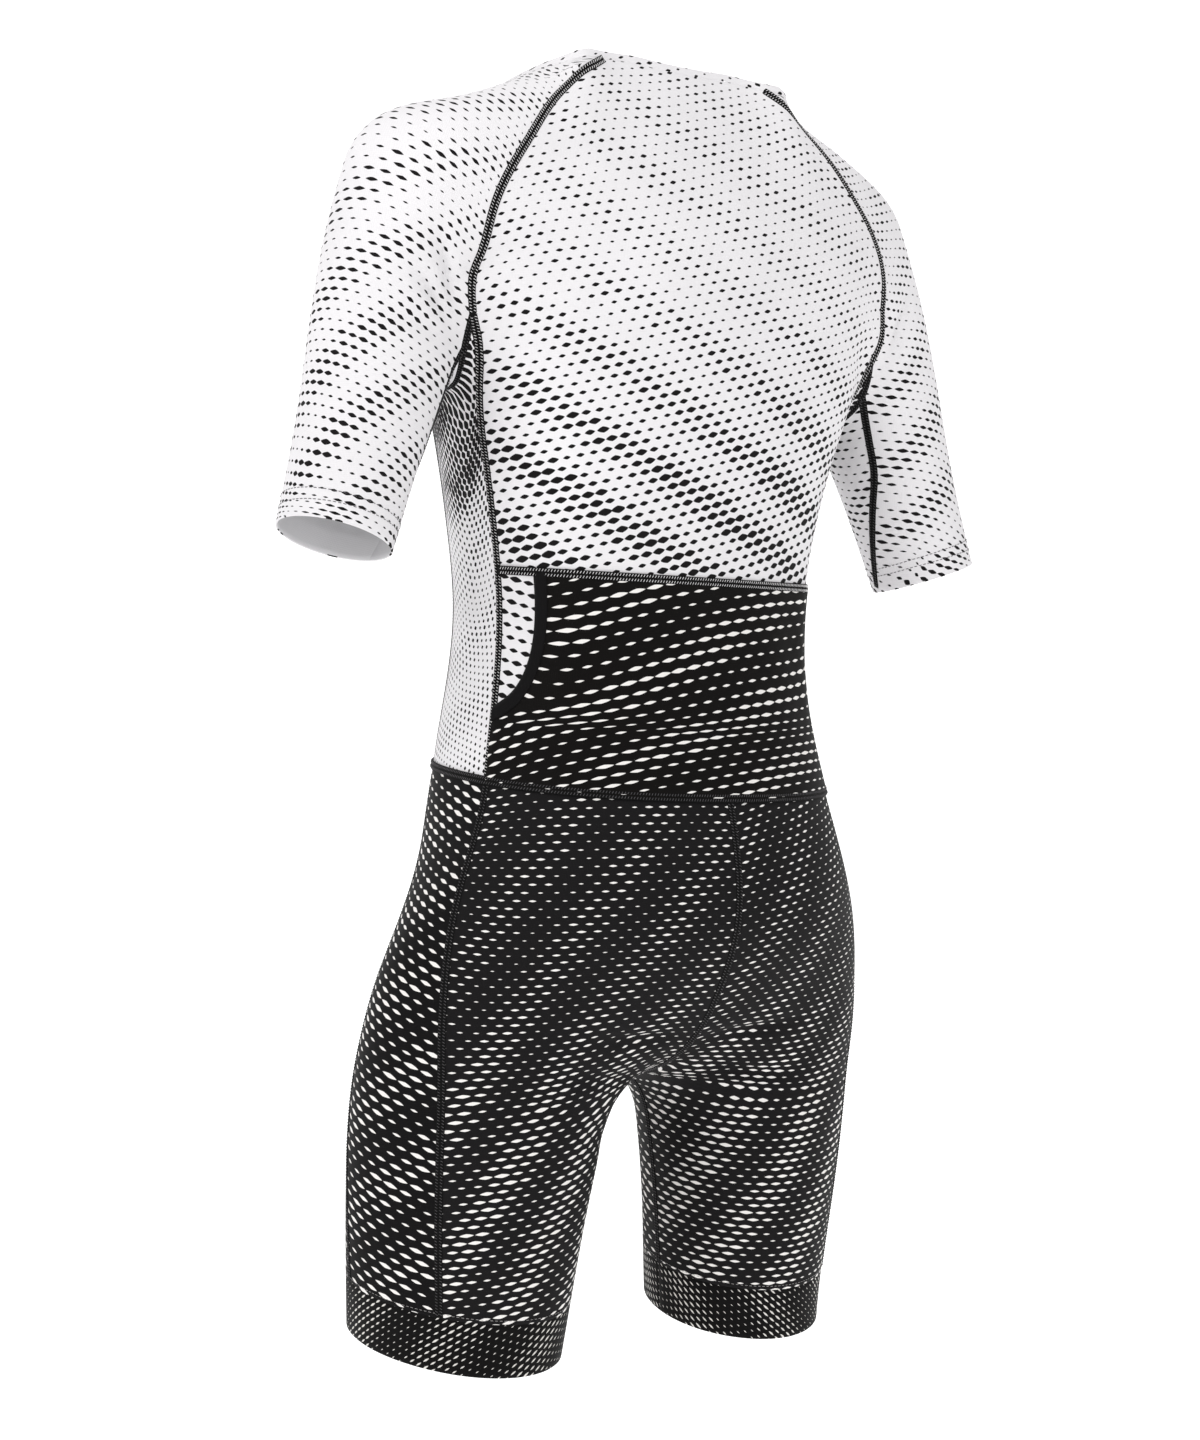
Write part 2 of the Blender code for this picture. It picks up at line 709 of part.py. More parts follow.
def body_panels(seams):
    """The upper back, lower back, left side and left front, as panels with their row shares."""
    upright = Axis((0, 0, 0), (0, 0, -1), (0, 1, 0))
    facing_side = Axis((0, 0, 0), (0, 0, -1), (1, 0, 0))
    facing_front = Axis((0, 0, 0), (0, 0, -1), (0.4, -1, 0))
    share = pocket_seam_share()
    side_back, side_front = seams["side_back"], seams["side_front"]
    upper_share = DOWN_RAGLAN / (DOWN_RAGLAN + DOWN_UPPER)
    upper = joined((0, upper_share, 1), seams["raglan_back"], side_back.part(0, share))
    lower = side_back.part(share, 1)
    pocket_bearing = curves(SIDE_SEAMS)["side_back"](POCKET_SEAM_HEIGHT)
    pocket_bearings = np.linspace(0, float(pocket_bearing), EDGE_POINTS)
    pocket_seam = Line(spread(torso_points(pocket_bearings, POCKET_SEAM_HEIGHT), EDGE_POINTS))
    rows = DOWN_RAGLAN + DOWN_UPPER + DOWN_LOWER
    front_share = DOWN_RAGLAN / rows
    outer_front = joined((0, front_share, 1), seams["raglan_front"], side_front)
    side_rows = steps((0, share, 1), (DOWN_UPPER, DOWN_LOWER))
    front_rows = np.concatenate(
        [np.linspace(0, front_share, DOWN_RAGLAN + 1)[:-1], front_share + (1 - front_share) * side_rows]
    )
    panels = {
        "back_upper": Panel(
            both_sides(seams["neck_back"]), both_sides(pocket_seam), other_side(upper), upper, upright
        ),
        "back_lower": Panel(
            both_sides(pocket_seam), both_sides(seams["waist_back"]), other_side(lower), lower, upright
        ),
        "side": Panel(
            seams["armhole"], seams["waist_side"], side_back, side_front, facing_side, rays=True
        ),
        "front": Panel(
            seams["neck_front"], seams["waist_front"], outer_front, seams["zip_edge"], facing_front
        ),
    }
    down = {
        "back_upper": steps((0, upper_share, 1), (DOWN_RAGLAN, DOWN_UPPER)),
        "back_lower": steps((0, 1), (DOWN_LOWER,)),
        "side": side_rows,
        "front": front_rows,
    }
    return panels, down


def swung(first, second, share):
    """Directions part of the way round from the first to the second."""
    angle = np.arccos(np.clip((first * second).sum(-1), -1, 1))[..., None]
    return np.sin((1 - share) * angle) * first + np.sin(share * angle) * second


def sleeve_lines(seams):
    """The left sleeve's upper edge, from its seam round by the back, and its cells between corners."""
    before_seam = ACROSS_SIDE - BEHIND_SLEEVE_SEAM
    counts = (BEHIND_SLEEVE_SEAM, DOWN_RAGLAN, ACROSS_SHOULDER, DOWN_RAGLAN, before_seam)
    knots = np.cumsum((0, *counts)) / sum(counts)
    armhole, seam_at = seams["armhole"], BEHIND_SLEEVE_SEAM / ACROSS_SIDE
    top = joined(
        knots,
        backwards(armhole.part(0, seam_at)),
        backwards(seams["raglan_back"]),
        seams["neck_shoulder"],
        seams["raglan_front"],
        backwards(armhole.part(seam_at, 1)),
    )
    return top, knots, sum(counts)


def eased(grid, rounds=EASING_ROUNDS):
    """The grid with its inner points drawn evenly between their neighbours, along the form."""
    grid = grid.copy()
    for _ in range(rounds):
        middle = (grid[2:, 1:-1] + grid[:-2, 1:-1] + grid[1:-1, 2:] + grid[1:-1, :-2]) / 4
        grid[1:-1, 1:-1] = on_form(middle, rounds=3)
    return grid


def sleeve_grid(top, knots, across, down, down_hem):
    """Points of the left sleeve: rays fan out over the shoulder, then from the middle of the arm.

    Rows are even along each line, but for the last few, which keep to the hem.
    """
    fan, tube = np.linspace(0, 1, EDGE_POINTS // 2), np.linspace(0, 1, EDGE_POINTS // 2)[1:, None]
    columns = np.array(SLEEVE_LINES[1:]).T
    at_armpit, at_end = [np.interp(across, knots, column) for column in columns]
    first = unit(top.at(across) - SHOULDER_HEART)
    second = unit(arm_points(at_armpit, ARMPIT_REACH) - SHOULDER_HEART)
    over = reach(SHOULDER_HEART, swung(first, second, fan[:, None, None]))
    bearings = at_armpit + tube * (at_end - at_armpit)
    below = arm_points(bearings, ARMPIT_REACH + tube * (SLEEVE_REACH - ARMPIT_REACH))
    lines = np.swapaxes(np.concatenate([over, below]), 0, 1)
    columns = []
    for line in lines:
        run = np.concatenate(([0.0], np.cumsum(np.linalg.norm(np.diff(line, axis=0), axis=1))))
        hem = run[-1] - SLEEVE_HEM
        wanted = np.concatenate([hem * down, hem + SLEEVE_HEM * down_hem[1:]])
        columns.append(np.stack([np.interp(wanted, run, part) for part in line.T], axis=-1))
    grid = on_form(np.stack(columns, axis=1))
    grid[0] = top.at(across)
    return np.concatenate([eased(grid[: len(down)]), grid[len(down) :]])


def short_panels(seams):
    """The left back, side and front of the shorts, their row shares and the band's bearings."""
    waist_middle = seams["waist_back"].points[0]
    front_middle = torso_points([180], WAIST_HEIGHT)[0]
    back_rise, front_rise = rise_seam(waist_middle), rise_seam(front_middle)
    crotch = back_rise[-1]
    height = crotch_height(crotch)
    share = (height - LEG_TOP) / (BAND_SEAM_HEIGHT - LEG_TOP)
    inseam = leg_seam("inseam", crotch, height, EDGE_POINTS)
    back_edge = joined((0, share, 1), Line(back_rise), Line(inseam))
    front_edge = joined((0, share, 1), Line(front_rise), Line(inseam))
    side_back = Line(leg_seam("side_back", seams["waist_side"].points[0], LEG_TOP, EDGE_POINTS))
    side_front = Line(leg_seam("side_front", seams["waist_side"].points[-1], LEG_TOP, EDGE_POINTS))
    inner, back, front = SHORT_SEAMS[-1][3], SHORT_SEAMS[-1][1], SHORT_SEAMS[-1][2]
    stretches = ((inner - 360, back), (back, front), (front, inner))
    bottoms = [
        Line(leg_points(np.linspace(*ends, EDGE_POINTS), BAND_SEAM_HEIGHT)) for ends in stretches
    ]
    waist_front = seams["waist_front"]
    half_zip = Line([waist_front.points[-1], front_middle])
    front_top = joined((0, ACROSS_FRONT / (ACROSS_FRONT + 1), 1), waist_front, half_zip)
    top, low = leg_level(LEG_TOP)[0], leg_level(BAND_SEAM_HEIGHT)[0]
    panels = {
        "back": (seams["waist_back"], bottoms[0], back_edge, side_back, (0, 1, 0)),
        "side": (seams["waist_side"], bottoms[1], side_back, side_front, (1, 0, 0)),
        "front": (front_top, bottoms[2], side_front, front_edge, (0, -1, 0)),
    }
    panels = {name: Panel(*lines, Axis(top, low, way)) for name, (*lines, way) in panels.items()}
    return panels, steps((0, share, 1), (DOWN_RISE, DOWN_INSEAM))


# ---------------------------------------------------------------- the suit's pieces


def pair(name, grid, look, **choices):
    """A left piece and its mirror image."""
    wall(name + "_left", grid, look, **choices)
    wall(name + "_right", mirrored(grid), look, **choices)


def make_body(seams):
    panels, down = body_panels(seams)
    across = {"back_upper": ACROSS_BACK, "back_lower": ACROSS_BACK}
    across.update({"side": ACROSS_SIDE, "front": ACROSS_FRONT})
    grids = {
        name: panel.grid(np.linspace(0, 1, across[name] + 1), down[name])
        for name, panel in panels.items()
    }
    wall("back_upper", grids["back_upper"], "white_knit")
    wall("back_lower", grids["back_lower"], "white_knit")
    make_pocket(panels["back_lower"], grids["back_lower"])
    pair("side", grids["side"], "white_knit")
    pair("front", grids["front"], "white_knit")


def mouth_line(table, panel, moved):
    """An edge of the right pocket mouth as bearings and drops, run on past both its ends.

    The table's line is moved that far in towards the pocket.
    """
    place = spread(smooth_run(table[1:], EDGE_POINTS), MOUTH_POINTS) + moved
    lines = (panel.top, panel.bottom, panel.left)
    points = [panel.axis.place(line.points) for line in lines]
    top, bottom, side = [np.linalg.norm(np.diff(p, axis=0), axis=1).sum() for p in points]
    down = place[:, 1] / side
    across = place[:, 0] / (top + down * (bottom - top))
    line = panel.axis.read(panel.at(across, down))[:, :2]
    above = line[0] - (0, MOUTH_RUN)
    return np.concatenate([[above], line, [2 * line[-1] - line[-2]]])


def wedge(name, lines, look):
    """A solid between two lines of bearings and drops, run out from the upright axis."""
    bearing, drop = np.moveaxis(np.stack(lines, axis=1), -1, 0)
    layers = [
        np.stack((radius * np.sin(bearing), radius * np.cos(bearing), -drop), axis=-1)
        for radius in WEDGE_RADII
    ]
    return between(name, layers[1], layers[0], look)


def make_pocket(panel, grid):
    """The pocket lies on the lower back and is cut away at its two slanted mouths.

    Each mouth is bound with tape, cut from the same surface.
    """
    pocket = wall("pocket", grid, "black_knit", lift=CLOTH + SEAM_GAP)
    cut_away = mouth_line(MOUTH_INNER, panel, SEAM_GAP)
    beyond = np.stack((0 * cut_away[:, 0] - MOUTH_BEYOND, cut_away[:, 1]), axis=-1)
    strip = [mouth_line(MOUTH_OUTER, panel, 0.0), mouth_line(MOUTH_INNER, panel, 0.0)]
    pieces = [pocket]
    for side, name in ((1, "right"), (-1, "left")):
        mouth = wedge("mouth_" + name, [beyond * (side, 1), cut_away * (side, 1)], "black_tape")
        shaped(pocket, "DIFFERENCE", mouth)
        whole = "pocket_binding_" + name
        lift = BINDING_CLOTH + SEAM_GAP
        binding = wall(whole, grid, "black_tape", thickness=BINDING_CLOTH, lift=lift)
        tape = wedge("tape_" + name, [line * (side, 1) for line in strip], "black_tape")
        shaped(binding, "INTERSECT", tape)
        pieces.append(binding)
    for piece in pieces:
        piece.modifiers.new("flat_faces", "TRIANGULATE")


def make_sleeves(seams):
    top, knots, cells = sleeve_lines(seams)
    down, down_hem = np.linspace(0, 1, DOWN_SLEEVE + 1), np.linspace(0, 1, DOWN_SLEEVE_HEM + 1)
    grid = sleeve_grid(top, knots, np.linspace(0, 1, cells + 1), down, down_hem)
    deep = np.where(np.arange(len(grid)) < DOWN_SLEEVE, CLOTH, HEM_CLOTH)[:, None]
    pair("sleeve", grid, "white_knit", edges=("top", "left", "right"), thickness=deep)


def make_shorts(seams):
    panels, down = short_panels(seams)
    across = {"back": ACROSS_BACK // 2, "side": ACROSS_SIDE, "front": ACROSS_FRONT + 1}
    for name, panel in panels.items():
        grid = panel.grid(steps((0, 1), (across[name],)), down)
        pair("short_" + name, grid, "black_knit")
    back, front, inner = SHORT_SEAMS[-1][1:]
    bearings = steps((inner - 360, back, front, inner), tuple(across.values()))
    heights = np.linspace(BAND_SEAM_HEIGHT, HEM_HEIGHT, DOWN_BAND + 1)
    grid = leg_points(bearings, heights[:, None])
    pair("leg_band", grid, "black_knit", edges=("top",), thickness=GRIPPER_CLOTH, tube=True)


def make_collar(seams):
    """A narrow folded band round the neck, open at the zip."""
    parts = (
        (seams["neck_back"], ACROSS_BACK // 2),
        (seams["neck_shoulder"], ACROSS_SHOULDER),
        (seams["neck_front"], ACROSS_FRONT),
    )
    left = [line.at(np.linspace(0, 1, cells + 1))[1:] for line, cells in parts]
    left = np.concatenate([parts[0][0].points[:1], *left])
    bottom = np.concatenate([mirrored(left[None])[0][:-1], left])
    bearings = np.degrees(np.arctan2(bottom[:, 0], bottom[:, 1]))
    rows = [bottom]
    for raised in np.linspace(0, COLLAR_HEIGHT, UP_COLLAR + 1)[1:]:
        row = neck_points(bearings, raised)
        for end, half in ((0, -ZIP_WIDTH / 2), (-1, ZIP_WIDTH / 2)):
            row[end] = centre_front(half, [bottom[end, 2] + raised])[0]
        rows.insert(0, row)
    wall("collar", np.array(rows), "white_knit", ("bottom", "left", "right"), COLLAR_CLOTH)


def make_zip():
    """The closed zip: its tape and coil from the collar's top to just above the waist seam."""
    top = float(curves(NECK)["height"](180)) + COLLAR_HEIGHT
    waist_front = centre_front(0, [WAIST_HEIGHT])[0, 1]
    bottom = WAIST_HEIGHT + WAIST_CLIMB * waist_front + SEAM_GAP
    heights = np.linspace(top, bottom, DOWN_ZIP + 1)
    grid = np.stack([centre_front(x, heights) for x in (ZIP_WIDTH / 2, 0, -ZIP_WIDTH / 2)], axis=1)
    lift = ZIP_OUTER + ZIP_RIDGE * np.array((0.0, 1.0, 0.0))[:, None]
    thickness = lift[:, 0] + ZIP_INNER
    wall("zip", grid, "black_tape", ("bottom", "left", "right"), thickness, lift)


def block(name, size, centre, look):
    """A plain box, its sides along, across and out from the zip."""
    mesh = bmesh.new()
    bmesh.ops.create_cube(mesh, size=1)
    bmesh.ops.scale(mesh, verts=mesh.verts, vec=(size[1], size[2], size[0]))
    bmesh.ops.translate(mesh, verts=mesh.verts, vec=centre)
    return finish(name, mesh, look)


def shaped(target, operation, tool):
    """The target joined with, or cut by, a helper that then stays hidden."""
    change = target.modifiers.new(operation.lower(), "BOOLEAN")
    change.operation, change.object, change.solver = operation, tool, "EXACT"
    tool.hide_render = True
    tool.display_type = "WIRE"


def bevelled(target):
    change = target.modifiers.new("worn_edges", "BEVEL")
    change.width = METAL_BEVEL
    change.segments = 1
    change.limit_method = "ANGLE"


def make_slider():
    """The slider sits closed at the top of the zip; its pull swings on the pin in the bail.

    Both are modelled upright, facing -Y, and turned to lie along the zip.
    """
    height = float(curves(NECK)["height"](180)) + COLLAR_HEIGHT - SLIDER_BELOW_TOP
    seat = centre_front(0, [height])[0]
    normal = outwards(seat[None])[0]
    tilt = math.atan2(normal[2], -normal[1])
    frame = bpy.data.objects.new("slider_seat", None)
    bpy.context.scene.collection.objects.link(frame)
    frame.location = seat
    frame.rotation_euler = (-tilt, 0, 0)
    top = SLIDER_LIFT + SLIDER_SIZE[2]
    middle = SLIDER_LIFT + SLIDER_SIZE[2] / 2
    slider = block("zip_slider", SLIDER_SIZE, (0, -middle, 0), "black_metal")
    sunk = SLIDER_SIZE[2] / 2
    bail_size = (BAIL_SIZE[0], BAIL_SIZE[1], BAIL_SIZE[2] + sunk)
    bail = block("bail", bail_size, (0, -(top + (BAIL_SIZE[2] - sunk) / 2), 0), "black_metal")
    window_size = (BAIL_WINDOW[0], 3 * BAIL_SIZE[1], BAIL_WINDOW[1])
    window = block("bail_window", window_size, (0, -(top + BAIL_WINDOW[1] / 2), 0), "black_metal")
    shaped(bail, "DIFFERENCE", window)
    shaped(slider, "UNION", bail)
    pin_height = top + PULL_PIN_UP
    pin_along = BAIL_WINDOW[0] / 2 - PULL_BAR / 2 - PULL_PLAY
    pull_middle = PULL_BAR / 2 - PULL_SIZE[0] / 2
    pull = block("zip_pull", PULL_SIZE, (0, 0, pull_middle), "black_metal")
    eye_size = (PULL_EYE[0], PULL_EYE[1], 3 * PULL_SIZE[2])
    eye = block("pull_eye", eye_size, (0, 0, -PULL_BAR / 2 - PULL_EYE[0] / 2), "black_metal")
    shaped(pull, "DIFFERENCE", eye)
    for piece in (slider, bail, window, pull, eye):
        piece.parent = frame
    for piece in (pull, eye):
        piece.location = (0, -pin_height, pin_along)
    bevelled(pull)


def main():
    for old in list(bpy.data.objects):
        bpy.data.objects.remove(old)
    seams = torso_seams()
    make_body(seams)
    make_sleeves(seams)
    make_shorts(seams)
    make_collar(seams)
    make_zip()
    make_slider()


main()
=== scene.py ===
"""The looks of a short-sleeved cycling skinsuit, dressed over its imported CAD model.

Metres, +Z up. The front faces -Y and the wearer's left is +X. The suit is hollow and keeps the
form in which it is worn. It goes together as a sewer would put it together: back, sides, front,
pocket, sleeves, shorts, leg bands, neck band, seams and zip.
"""

import math

import bmesh
import bpy
import numpy as np
from mathutils import Matrix, Vector


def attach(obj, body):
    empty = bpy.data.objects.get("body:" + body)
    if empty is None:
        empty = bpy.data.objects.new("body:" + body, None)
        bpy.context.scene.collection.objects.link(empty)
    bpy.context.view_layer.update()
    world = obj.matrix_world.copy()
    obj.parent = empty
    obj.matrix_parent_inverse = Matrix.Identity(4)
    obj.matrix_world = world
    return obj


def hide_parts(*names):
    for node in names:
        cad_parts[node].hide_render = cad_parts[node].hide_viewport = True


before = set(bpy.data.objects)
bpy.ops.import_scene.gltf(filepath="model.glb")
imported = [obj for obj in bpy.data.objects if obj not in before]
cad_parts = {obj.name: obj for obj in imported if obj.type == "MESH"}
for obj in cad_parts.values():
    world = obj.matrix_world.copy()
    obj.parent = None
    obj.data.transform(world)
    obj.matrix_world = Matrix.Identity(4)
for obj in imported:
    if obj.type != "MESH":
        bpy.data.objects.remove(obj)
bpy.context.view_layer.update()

# ---------------------------------------------------------------- upper back
# The large panel between the two raglan seams, from the neck down to the pocket's top seam. It is
# warp-knitted polyester and elastane, white, printed before it was cut. It is worn stretched over
# a smooth form, so the form's sections come first and then the seams that the panel ends at.

# Each cell of a panel's coarse grid is cut into this many each way. The knit is drawn 0.8 mm thick
FINER, CLOTH = 5, 0.0008

TORSO = (
    ("height", "half_width", "back", "front", "widest"),
    (0.117, 0.051, 0.042, -0.051, -0.002),
    (0.049, 0.061, 0.040, -0.049, 0.006),
    (0.021, 0.068, 0.044, -0.053, 0.014),
    (-0.008, 0.101, 0.057, -0.065, 0.024),
    (-0.037, 0.157, 0.0735, -0.079, 0.033),
    (-0.076, 0.183, 0.091, -0.092, 0.037),
    (-0.124, 0.192, 0.108, -0.104, 0.036),
    (-0.182, 0.181, 0.116, -0.111, 0.030),
    (-0.222, 0.1745, 0.1145, -0.111, 0.026),
    (-0.259, 0.163, 0.112, -0.110, 0.022),
    (-0.337, 0.1435, 0.105, -0.106, 0.015),
    (-0.394, 0.135, 0.104, -0.105, 0.012),
    (-0.452, 0.139, 0.110, -0.107, 0.010),
    (-0.501, 0.149, 0.1225, -0.108, 0.012),
    (-0.558, 0.161, 0.138, -0.105, 0.018),
    (-0.616, 0.173, 0.142, -0.100, 0.0235),
    (-0.674, 0.174, 0.117, -0.093, 0.0235),
    (-0.752, 0.1565, 0.066, -0.073, 0.0215),
)
TORSO_FLOOR = -0.7274
LEG = (
    ("height", "across", "back", "half_width", "half_depth", "turn"),
    (-0.520, 0.061, 0.001, 0.061, 0.020, 60),
    (-0.597, 0.091, 0.0055, 0.081, 0.051, 30),
    (-0.674, 0.1105, 0.0055, 0.092, 0.074, 0),
    (-0.752, 0.1205, 0.002, 0.093, 0.078, -24),
    (-0.829, 0.126, -0.0035, 0.087, 0.074, -42),
    (-0.896, 0.1275, -0.009, 0.082, 0.069, -54),
    (-0.993, 0.1315, -0.013, 0.0745, 0.063, -63),
)
SHOULDER = np.array((0.1897, 0.0022, -0.1034))
ARM_DIRECTION = np.array((0.3216, 0.114, -1.0))
ARM = (
    ("along", "radius"),
    (0.000, 0.0568),
    (0.048, 0.0571),
    (0.116, 0.0524),
    (0.193, 0.0445),
    (0.270, 0.0405),
    (0.328, 0.0385),
)
# Below the table's last row the arm goes on as it is there, and ends this far from the shoulder
ARM_END = 0.40
# An oval of power 2 is an ellipse, and a higher power makes it squarer
TORSO_POWER, LEG_POWER = 2.25, 2.05
HIP_BLEND, CROTCH_BLEND, FLOOR_BLEND = 0.048, 0.0116, 0.058
# The arm blends into the torso more softly over the shoulder than in the armpit
ARM_BLEND_HEIGHTS, ARM_BLENDS = (-0.235, -0.150), (0.026, 0.048)


class Cubic:
    """A natural cubic through values at rising places, held at its ends."""

    def __init__(self, at, values):
        self.at = np.asarray(at, float)
        self.values = np.asarray(values, float).reshape(len(self.at), -1)
        count = len(self.at)
        step = np.diff(self.at)
        slope = np.diff(self.values, axis=0) / step[:, None]
        matrix = np.eye(count)
        right = np.zeros_like(self.values)
        for i in range(1, count - 1):
            matrix[i, i - 1 : i + 2] = step[i - 1], 2 * (step[i - 1] + step[i]), step[i]
            right[i] = 6 * (slope[i] - slope[i - 1])
        self.bend = np.linalg.solve(matrix, right)

    def __call__(self, place):
        place = np.clip(np.asarray(place, float), self.at[0], self.at[-1])
        i = np.clip(np.searchsorted(self.at, place) - 1, 0, len(self.at) - 2)
        step = (self.at[i + 1] - self.at[i])[..., None]
        after = (place - self.at[i])[..., None]
        before = step - after
        low, high = self.bend[i], self.bend[i + 1]
        value = (low * before**3 + high * after**3) / (6 * step)
        value += (self.values[i] / step - low * step / 6) * before
        value += (self.values[i + 1] / step - high * step / 6) * after
        return value[..., 0] if self.values.shape[1] == 1 else value


def curves(table):
    """A curve over a table's first column for each of its other columns."""
    names, *rows = table
    rows = np.array(sorted(rows), float)
    return {name: Cubic(rows[:, 0], rows[:, i]) for i, name in enumerate(names) if i}


def lengths(points):
    """How far along a polyline each of its points is."""
    return np.concatenate(([0.0], np.cumsum(np.linalg.norm(np.diff(points, axis=0), axis=1))))


def placed(points, wanted):
    """Points at some lengths along a polyline."""
    run = lengths(points)
    return np.stack([np.interp(wanted, run, column) for column in points.T], axis=-1)


def spread(points, count):
    """Points spaced evenly along a polyline."""
    points = np.asarray(points, float)
    return placed(points, np.linspace(0, lengths(points)[-1], count))


def smooth_run(points, count):
    """Evenly spaced points along a smooth curve through a few."""
    points = np.asarray(points, float)
    run = lengths(points)
    fine = Cubic(run, points)(np.linspace(0, run[-1], 4 * count))
    return spread(fine, count)


TORSO_CURVES = curves(TORSO)
LEG_CURVES = curves(LEG)
ARM_CURVES = curves(ARM)
ARM_UNIT = ARM_DIRECTION / np.linalg.norm(ARM_DIRECTION)


def blend(first, second, width):
    """The smaller of two distances, rounded where they differ by less than the width."""
    share = np.maximum(width - np.abs(first - second), 0) / width
    return np.minimum(first, second) - share**2 * width / 4


def oval(across, deep, half_width, half_depth, power):
    """About the distance outside an oval."""
    size = (np.abs(across) / half_width) ** power + (np.abs(deep) / half_depth) ** power
    return np.hypot(across, deep) * (1 - np.maximum(size, 1e-4) ** (-1 / power))


def torso_distance(points):
    x, y, z = np.moveaxis(points, -1, 0)
    width, back, front, side = [curve(z) for curve in TORSO_CURVES.values()]
    deep = y - side
    depth = np.where(deep > 0, back - side, side - front)
    return -blend(-oval(x, deep, width, depth, TORSO_POWER), z - TORSO_FLOOR, FLOOR_BLEND)


def leg_distance(points, side):
    x, y, z = np.moveaxis(points, -1, 0)
    across, back, width, depth, turn = [curve(z) for curve in LEG_CURVES.values()]
    x = side * x - across
    y = y - back
    c, s = np.cos(np.radians(turn)), np.sin(np.radians(turn))
    return oval(x * c + y * s, y * c - x * s, width, depth, LEG_POWER)


def arm_distance(points, side):
    from_shoulder = points * (side, 1, 1) - SHOULDER
    along = np.clip(from_shoulder @ ARM_UNIT, 0, ARM_END)
    off = from_shoulder - along[..., None] * ARM_UNIT
    return np.linalg.norm(off, axis=-1) - ARM_CURVES["radius"](along)


def distance(points):
    """About how far each point is outside the body form."""
    legs = blend(leg_distance(points, 1), leg_distance(points, -1), CROTCH_BLEND)
    body = blend(torso_distance(points), legs, HIP_BLEND)
    arm_blend = np.interp(points[..., 2], ARM_BLEND_HEIGHTS, ARM_BLENDS)
    for side in (1, -1):
        body = blend(body, arm_distance(points, side), arm_blend)
    return body


def slope(points, probe=1e-4):
    moves = probe * np.eye(3)
    rises = [distance(points + move) - distance(points - move) for move in moves]
    return np.stack(rises, axis=-1) / (2 * probe)


def unit(vectors):
    return vectors / np.linalg.norm(vectors, axis=-1, keepdims=True)


def on_form(points, rounds=9, longest=0.02):
    """The points drawn straight onto the body form."""
    points = np.array(points, float)
    for _ in range(rounds):
        way = slope(points)
        step = way * (distance(points) / np.maximum((way**2).sum(-1), 0.05))[..., None]
        length = np.linalg.norm(step, axis=-1, keepdims=True)
        points -= step * np.minimum(1, longest / np.maximum(length, 1e-12))
    return points


def outwards(points):
    return unit(slope(points))


def reach(origins, directions, rounds=60, first=0.02):
    """Where rays from inside the form first leave it."""
    directions = unit(np.asarray(directions, float))
    run = np.full(directions.shape[:-1], first)
    for _ in range(rounds):
        run -= distance(origins + directions * run[..., None])
    return origins + directions * run[..., None]


def compass(bearings, climb=0.0):
    """Directions for bearings in a level that climbs towards the back."""
    angle = np.radians(bearings)
    return np.stack((np.sin(angle), np.cos(angle), climb * np.cos(angle)), axis=-1)


# Seams that the upper body's panels end at. A bearing is in degrees from straight back, growing
# towards the wearer's left.
ARMHOLE_HEIGHT = -0.197
POCKET_SEAM_HEIGHT = -0.367
WAIST_HEIGHT, WAIST_CLIMB = -0.513, -0.10
ZIP_WIDTH = 0.008
NECK = (
    ("bearing", "height"),
    (0, -0.004),
    (30, -0.003),
    (53, -0.004),
    (70, -0.012),
    (90, -0.018),
    (120, -0.028),
    (150, -0.042),
    (180, -0.050),
)
NECK_TO_RAGLAN = (53, 112)
RAGLAN_BACK = (
    ("across", "back", "height"),
    (0.119, 0.064, -0.038),
    (0.146, 0.072, -0.071),
    (0.166, 0.0765, -0.099),
    (0.178, 0.076, -0.126),
    (0.184, 0.0745, -0.153),
    (0.188, 0.070, -0.176),
)
RAGLAN_FRONT = (
    ("across", "back", "height"),
    (0.112, -0.066, -0.050),
    (0.138, -0.076, -0.085),
    (0.158, -0.076, -0.120),
    (0.170, -0.062, -0.155),
)
ARMHOLE = (
    ("across", "back", "height"),
    (0.183, 0.046, -0.223),
    (0.180, 0.010, -0.235),
    (0.178, -0.020, -0.224),
)
SIDE_SEAMS = (
    ("height", "side_back", "side_front"),
    (ARMHOLE_HEIGHT, 71.4, 104),
    (-0.217, 72.3, 105),
    (-0.252, 75.5, 107),
    (-0.307, 77, 111),
    (-0.425, 77, 114),
    (WAIST_HEIGHT, 74, 116),
)
# Cells of the panel's coarse grid, and points along each seam line
ACROSS_BACK, DOWN_RAGLAN, DOWN_UPPER = 16, 9, 8
EDGE_POINTS = 161


def torso_climb(heights):
    """Levels climb more and more like the waist seam from the armholes down to it."""
    share = (heights - ARMHOLE_HEIGHT) / (WAIST_HEIGHT - ARMHOLE_HEIGHT)
    return WAIST_CLIMB * np.clip(share, 0, 1)


def on_axis(across, back, heights):
    heights = np.asarray(heights, float)
    return np.stack((across + 0 * heights, back + 0 * heights, heights), axis=-1)


def torso_points(bearings, heights):
    """Points round the torso in its levels."""
    bearings, heights = np.broadcast_arrays(np.asarray(bearings, float), heights)
    return reach(on_axis(0, 0, heights), compass(bearings, torso_climb(heights)))


def neck_points(bearings, raised=0.0):
    bearings = np.asarray(bearings, float)
    heights = curves(NECK)["height"](np.abs(bearings)) + raised
    return reach(on_axis(0, 0, heights), compass(bearings))


def centre_front(across, heights):
    """A vertical line down the front, that far from the centre."""
    ahead = np.array((0.0, -1.0, 0.0)) + 0 * on_axis(0, 0, heights)
    return reach(on_axis(across, 0, heights), ahead)


